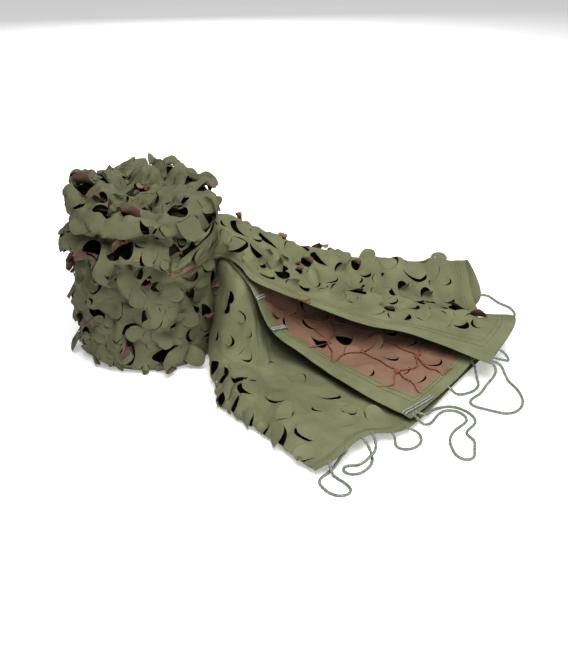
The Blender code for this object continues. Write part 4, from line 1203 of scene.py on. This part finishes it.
def add_bottom_row(roll, leaves):
    """Leaves that hang with their tips at the roll's foot, all the way round."""
    for u in np.arange(0.03, roll.width - 0.03, TIP_APART):
        u = u + random.uniform(-0.005, 0.005)
        down = math.radians(random.uniform(-115, -65))
        size, curl = random.uniform(0.8, 1.1), random.uniform(0.0, 0.7)
        leaf = new_leaf(u, TIP_ROW, 0.3, down, size, curl, random.choice(list(LEAF_EDGES)))
        leaf["begin"], leaf["stiff"] = 0.0, 1.0
        add_cut(roll, leaf)
        if leaf["box"][2] > -LEAF_CLEAR / 2 and not any(touch(leaf["cut"], o["cut"]) for o in leaves):
            leaves.append(leaf)


def roll_cuts(roll):
    """The leaves of the roll's last turn."""
    random.seed(SEEDS["roll"])
    leaves = []

    def direction(u):
        return u / roll.width * 2 * math.pi + PATTERN_START

    def clear_of_exit(u, v):
        return float(near_exit(direction(u))) < 0.95 or v > 0.30

    def usual(u, v):
        degrees = math.degrees(direction(u)) % 360
        if v > 0.19:  # the belt folds and the top, calmer at the back left
            return 0.75 if 150 < degrees < 225 else 0.05
        return 0.3 if 235 < degrees < 330 else 0.35  # the side, a little livelier at the front

    placed_leaves(roll, ROLL_LEAVES, leaves)
    add_bottom_row(roll, leaves)
    calm_at = calm_over(roll, ROLL_CALM, usual)
    for top, apart, sizes in ((0.445, ROLL_APART, USUAL_SIZES), (0.330, SMALL_APART, SMALL_SIZES)):
        region = (EDGE_CLEAR, roll.width - EDGE_CLEAR, 0.003, top)
        scatter_leaves(roll, region, apart, 7000, calm_at, leaves, clear_of_exit, True, sizes)
    return leaves


def build_roll(turns, green, brown, leaf_brown_painted_shade, second_turn_painted_shade, shade, yellow):
    roll, second, inner = turns
    leaves = roll_cuts(roll)
    # the green given to the roll's cloth is its darker copy: painted shade
    cloth = cut_cloth("roll_cloth", roll, leaves, lambda u, v: 1, green, brown)
    # the leaves' brown backs take the darker brown: painted shade
    tongues = thicken(mesh_piece("roll_leaves", *leaf_tongues(roll, leaves), green, leaf_brown_painted_shade))
    random.seed(SEEDS["second_turn"])
    lower = []
    region = (EDGE_CLEAR, second.width - EDGE_CLEAR, EDGE_CLEAR, 0.400)
    scatter_leaves(second, region, ROLL_APART, 6000, 0.5, lower)
    # the turn under it takes the much darker green: painted shade
    turn_under = cut_cloth("second_turn", second, lower, lambda u, v: 2, second_turn_painted_shade, brown)
    core = uncut(inner, np.linspace(0, inner.width, 150), np.linspace(0, inner.length, 90))
    # the core takes the near-black shade finish: painted shade
    under = mesh_piece("inner_turn", *core, shade, shade)
    threads = [tie_thread(roll, *seen_at(roll, *place)) for place in YELLOW_TIES]
    ties = mesh_piece("roll_ties", *joined(threads), yellow)
    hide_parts("net_roll")


def hem_strips(cloth, bulge=0.0016):
    """The turned-over hem on the cloth's back, in three strips mitred at the corners."""
    sides = (  # how long, mitred at its start too, its places, and the way out of the cloth
        (cloth.length, False, lambda s, depth: (np.full_like(s, depth), s), cloth.du, -1),
        (cloth.length, False, lambda s, depth: (np.full_like(s, cloth.width - depth), s), cloth.du, 1),
        (cloth.width, True, lambda s, depth: (s, np.full_like(s, cloth.length - depth)), cloth.dv, 1),
    )
    parts = []
    for runs, mitred, at, table, sign in sides:
        rows = []
        for share in np.concatenate([np.linspace(0, 1, 7), [1.04, 1.10]]):  # the last two turn the edge
            depth = HEM_WIDTH * (1 - min(share, 1.0))
            s = np.linspace(depth if mitred else 0.0, runs - depth, int(runs / 0.006))
            edge = 0.0 if share <= 1.0 else 0.0008
            if share > 1.0:
                out = bulge * (share - 1.0) * 6
            else:
                out = -bulge * min(1.0, 0.35 + (1 - share) * 3.0) if share > 0.02 else -0.0008
            way = sign * unit(cloth.read(table, *at(s, 0.0)))
            rows.append(cloth.place(*at(s, depth), out) + way * edge)
        parts.append((np.concatenate(rows), grid_quads(len(rows), len(rows[0]))))
    return joined(parts)


def stitches(cloth, long=0.0042, thick=0.0007):
    """Rows of short stitches along the hems, on both sides of the cloth."""
    parts = []

    def row(u0, v0, u1, v1, length):
        count = int(length / long)
        for n in range(count):
            a, b = (n + 0.12) / count, (n + 0.88) / count
            ways = np.array([a, (a + b) / 2, b])
            for side, lift in STITCH_LIFTS:
                over = side * lift + side * np.array([-0.0003, 0.0003, -0.0003])
                line = cloth.place(u0 + (u1 - u0) * ways, v0 + (v1 - v0) * ways, over)
                parts.append(swept_tube(line, thick / 2, 4))

    for inset in STITCH_ROWS:
        far, end = cloth.width - inset, cloth.length - inset
        row(inset, 0.0, inset, end, cloth.length)
        row(far, 0.0, far, end, cloth.length)
        row(inset, end, far, end, cloth.width)
    return joined(parts)


def ply(cloth, first, last, rise):
    """A folded layer that lies close under the cloth from one fold line to another, uncut."""
    us = np.linspace(cloth.u_at(*first), cloth.u_at(*last), 40)
    vs = np.linspace(0.01, cloth.length - 1.2 * HEM_WIDTH, 80)
    points, faces = uncut(cloth, us, vs, rise)
    points[:, 2] = np.maximum(points[:, 2], LOWEST)
    return points, faces


def free_end_cuts(cloth):
    """The leaves of the free end."""
    random.seed(SEEDS["free_end"])
    leaves = []
    end = cloth.length - HEM_WIDTH - 0.006  # the rows stop before the end hem
    beside_hem = HEM_WIDTH + EDGE_CLEAR
    placed_leaves(cloth, PANEL_LEAVES, leaves, (cloth.u_at("hem_a") + HEM_WIDTH, cloth.u_at("fold_k2")))
    placed_leaves(cloth, FRONT_LEAVES, leaves, (cloth.u_at("crest", 0.3), cloth.u_at("fold_f", 0.3)))
    placed_leaves(cloth, RIDGE_LEAVES, leaves, (cloth.u_at("foot_k"), cloth.width - HEM_WIDTH))
    from_root, from_roll = cloth.v_at("root") + 0.03, 0.02
    zones = [  # columns, where the rows start, how calm the leaves lie, how far the small ones go
        (cloth.u_at("hem_a") + beside_hem, cloth.u_at("fold_k2"), from_root, 0.85, None),
        (cloth.u_at("crest"), cloth.u_at("skirt"), from_root, 0.97, None),
        (cloth.u_at("skirt", 0.30), cloth.u_at("fold_f", 0.45), from_root, 0.45, 0.6 * end),
        (cloth.u_at("foot_k"), cloth.u_at("valley"), from_roll, 0.40, end),
        (cloth.u_at("valley"), cloth.u_at("hem_b") - beside_hem, from_roll, 0.35, end),
    ]
    for n, (u0, u1, start, calm, reach) in enumerate(zones):
        before = len(leaves)
        scatter_leaves(cloth, (u0, u1, start, end), END_APART, 6000, calm, leaves)
        if reach:
            scatter_leaves(cloth, (u0, u1, start, reach), SMALL_APART, 5000, calm, leaves, sizes=SMALL_SIZES)
        if n == 0:  # the brown side is up here, and the leaves lift from it
            for leaf in leaves[before:]:
                leaf["curl"] = -0.55 - 0.5 * min(abs(leaf["curl"]), 0.9)
    return leaves


def build_free_end(cloth, green, brown, thread, shade):
    leaves = free_end_cuts(cloth)
    folded_in = (cloth.u_at("fold_k2", 0.15), cloth.u_at("under", 0.6))
    on_floor = (cloth.u_at("floor"), cloth.u_at("floor_back", 0.6))

    def spacing(u, v):  # wider in the hidden layers
        return 3 if folded_in[0] < u < folded_in[1] or on_floor[0] < u < on_floor[1] else 1

    sheet = cut_cloth("free_end_cloth", cloth, leaves, spacing, green, brown)
    tongues = thicken(mesh_piece("free_end_leaves", *leaf_tongues(cloth, leaves), green, brown))
    # the folded plies take the near-black shade finish: painted shade
    plies = mesh_piece("folded_plies", *joined([ply(cloth, *place) for place in PLIES]), shade)
    hem = thicken(mesh_piece("turned_hem", *hem_strips(cloth), green, green))
    seam = mesh_piece("hem_stitches", *stitches(cloth), thread)
    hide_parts("net_free_end")
    return sheet, [tongues, plies, hem, seam]


def build_twine(cloth, finish):
    """The knotted net on the open panel's brown side, where it shows in the photograph."""
    panel = (cloth.u_at("hem_a") + 0.6 * HEM_WIDTH, cloth.u_at("fold_k2") - 0.01)
    hem = (cloth.width - HEM_WIDTH, cloth.width)
    lift = CLOTH / 2 + TWINE / 2 + 0.0006

    def laid(run, columns, side, slack):
        route = np.array([seen_at(cloth, x, y, columns) for x, y in run])
        route = smooth_route(np.column_stack([route, 0 * route[:, 0]]), 0.0025)
        way = np.linspace(0, math.pi, len(route))
        wave = slack * np.sin(way * max(2, round(len(route) / 9)))
        aside = unit(np.gradient(route[:, :2], axis=0))
        u, v = route[:, 0] - wave * aside[:, 1], route[:, 1] + wave * aside[:, 0]
        line = cloth.place(u, v, side * (lift + 0.0012 * np.sin(way)))
        return swept_tube(line, TWINE / 2, 7, twist=0.12, pitch=0.004)

    parts = [laid(run, panel, -1, 0.0011) for run in TWINE_RUNS]
    parts.append(laid(TWINE_OVER_HEM, hem, 1, 0.0))
    turn = np.linspace(0, 2 * math.pi, 40)
    size = 0.0013  # of a knot, a trefoil
    for x, y in TWINE_KNOTS:
        u, v = seen_at(cloth, x, y, panel)
        across = u + size * (np.sin(turn) + 2 * np.sin(2 * turn))
        along = v + size * (np.cos(turn) - 2 * np.cos(2 * turn))
        line = cloth.place(across, along, -(lift + 0.0008 - 0.0012 * np.sin(3 * turn)))
        parts.append(swept_tube(line, TWINE / 2, 7))
    net = mesh_piece("twine_net", *joined(parts), finish)
    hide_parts("support_net")
    return net


def hem_exit(cloth, place):
    """A point on the end hem, and the way out of it."""
    u = max(cloth.u_at(*place), CORD)
    edge = unit(cloth.read(cloth.du, u, cloth.length))
    along = cloth.read(cloth.dv, u, cloth.length)
    return cloth.place(u, cloth.length), unit(along - edge * (along @ edge))


def build_cords(cloth, finish):
    """Each cord starts and ends inside the hem, and goes straight out of it before its route."""
    for name, (first, last, route) in TIE_CORDS.items():
        start, start_out = hem_exit(cloth, first)
        end, end_out = hem_exit(cloth, last)
        meet, straight = -0.004, 0.001
        points = [start + start_out * meet, start + start_out * straight]
        points += [np.array(p) / 1000 for p in route]
        points += [end + end_out * straight, end + end_out * meet]
        path = eased(smooth_route(points, CORD_STEP), CORD_EASING / CORD_STEP)
        tube = swept_tube(path, CORD / 2, 12, braid=BRAID, pitch=0.011)
        piece = mesh_piece("braided_cord_" + name, *tube, finish)
        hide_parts("tie_cord_" + name)


def build_lashings(cloth, finish):
    """Two strands each, laid over the hem and bent round its edge."""
    for name, (section, share, gap) in LASHINGS.items():
        v = cloth.v_at(section, share)
        over = HEM_THICKNESS / 2 + CORD / 4 + gap
        way = -unit(cloth.read(cloth.du, 0.0, v))
        parts = []
        for beside in (-0.0024, 0.0024):
            us = (HEM_WIDTH + 0.006, 0.020, 0.008, 0.0)
            route = [cloth.place(u, v + 0.25 * u + beside, -over) for u in us]
            route.append(cloth.place(0.0, v + beside, -0.4 * over) + way * 0.9 * over)
            parts.append(swept_tube(smooth_route(route, 0.0009), CORD * 0.42, 10, braid=BRAID, pitch=0.008))
        piece = mesh_piece("braided_lashing_" + name, *joined(parts), finish)
        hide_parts("lashing_" + name)


def main():
    build_camera()
    build_studio()
    green = cloth_finish("green_face", (0.162, 0.173, 0.098), (0.228, 0.238, 0.138))
    brown = cloth_finish("brown_back", (0.225, 0.136, 0.094), (0.300, 0.190, 0.135))
    # the roll's green is a darker copy of the cloth's green: painted shade on the roll
    roll_green_painted_shade = cloth_finish("green_face_of_the_roll_painted_shade", (0.120, 0.124, 0.071), (0.182, 0.185, 0.110))
    # a darker copy of the brown for the backs of the roll's leaves: painted shade
    leaf_brown_painted_shade = cloth_finish("brown_back_of_roll_leaves_painted_shade", (0.112, 0.062, 0.046), (0.178, 0.103, 0.076))
    # the turn under the roll's last one is the same green made much darker: painted shade
    second_turn_painted_shade = cloth_finish("second_turn_green_painted_shade", (0.026, 0.029, 0.016), (0.050, 0.055, 0.030), 0.9)
    # near-black: painted shade, for the roll's core and the folded plies
    shade = cloth_finish("inner_shade", (0.004, 0.005, 0.003), (0.010, 0.011, 0.007), 1.0)
    thread = cord_finish("hem_thread", (0.22, 0.14, 0.09), (0.33, 0.24, 0.15))
    twine = cord_finish("twine", (0.235, 0.088, 0.052), (0.34, 0.148, 0.092))
    yellow = cord_finish("yellow_tie", (0.46, 0.28, 0.05), (0.62, 0.42, 0.10))
    braid = cord_finish("braided_cord", (0.14, 0.16, 0.13), (0.30, 0.32, 0.27))
    lash = cord_finish("braided_lashing", (0.18, 0.20, 0.175), (0.37, 0.39, 0.36))
    turns = roll_surface()
    cloth = DrapedCloth()
    build_cords(cloth, braid)
    build_lashings(cloth, lash)
    build_roll(turns, roll_green_painted_shade, brown, leaf_brown_painted_shade, second_turn_painted_shade, shade, yellow)
    sheet, with_it = build_free_end(cloth, green, brown, thread, shade)
    with_it.append(build_twine(cloth, twine))


main()
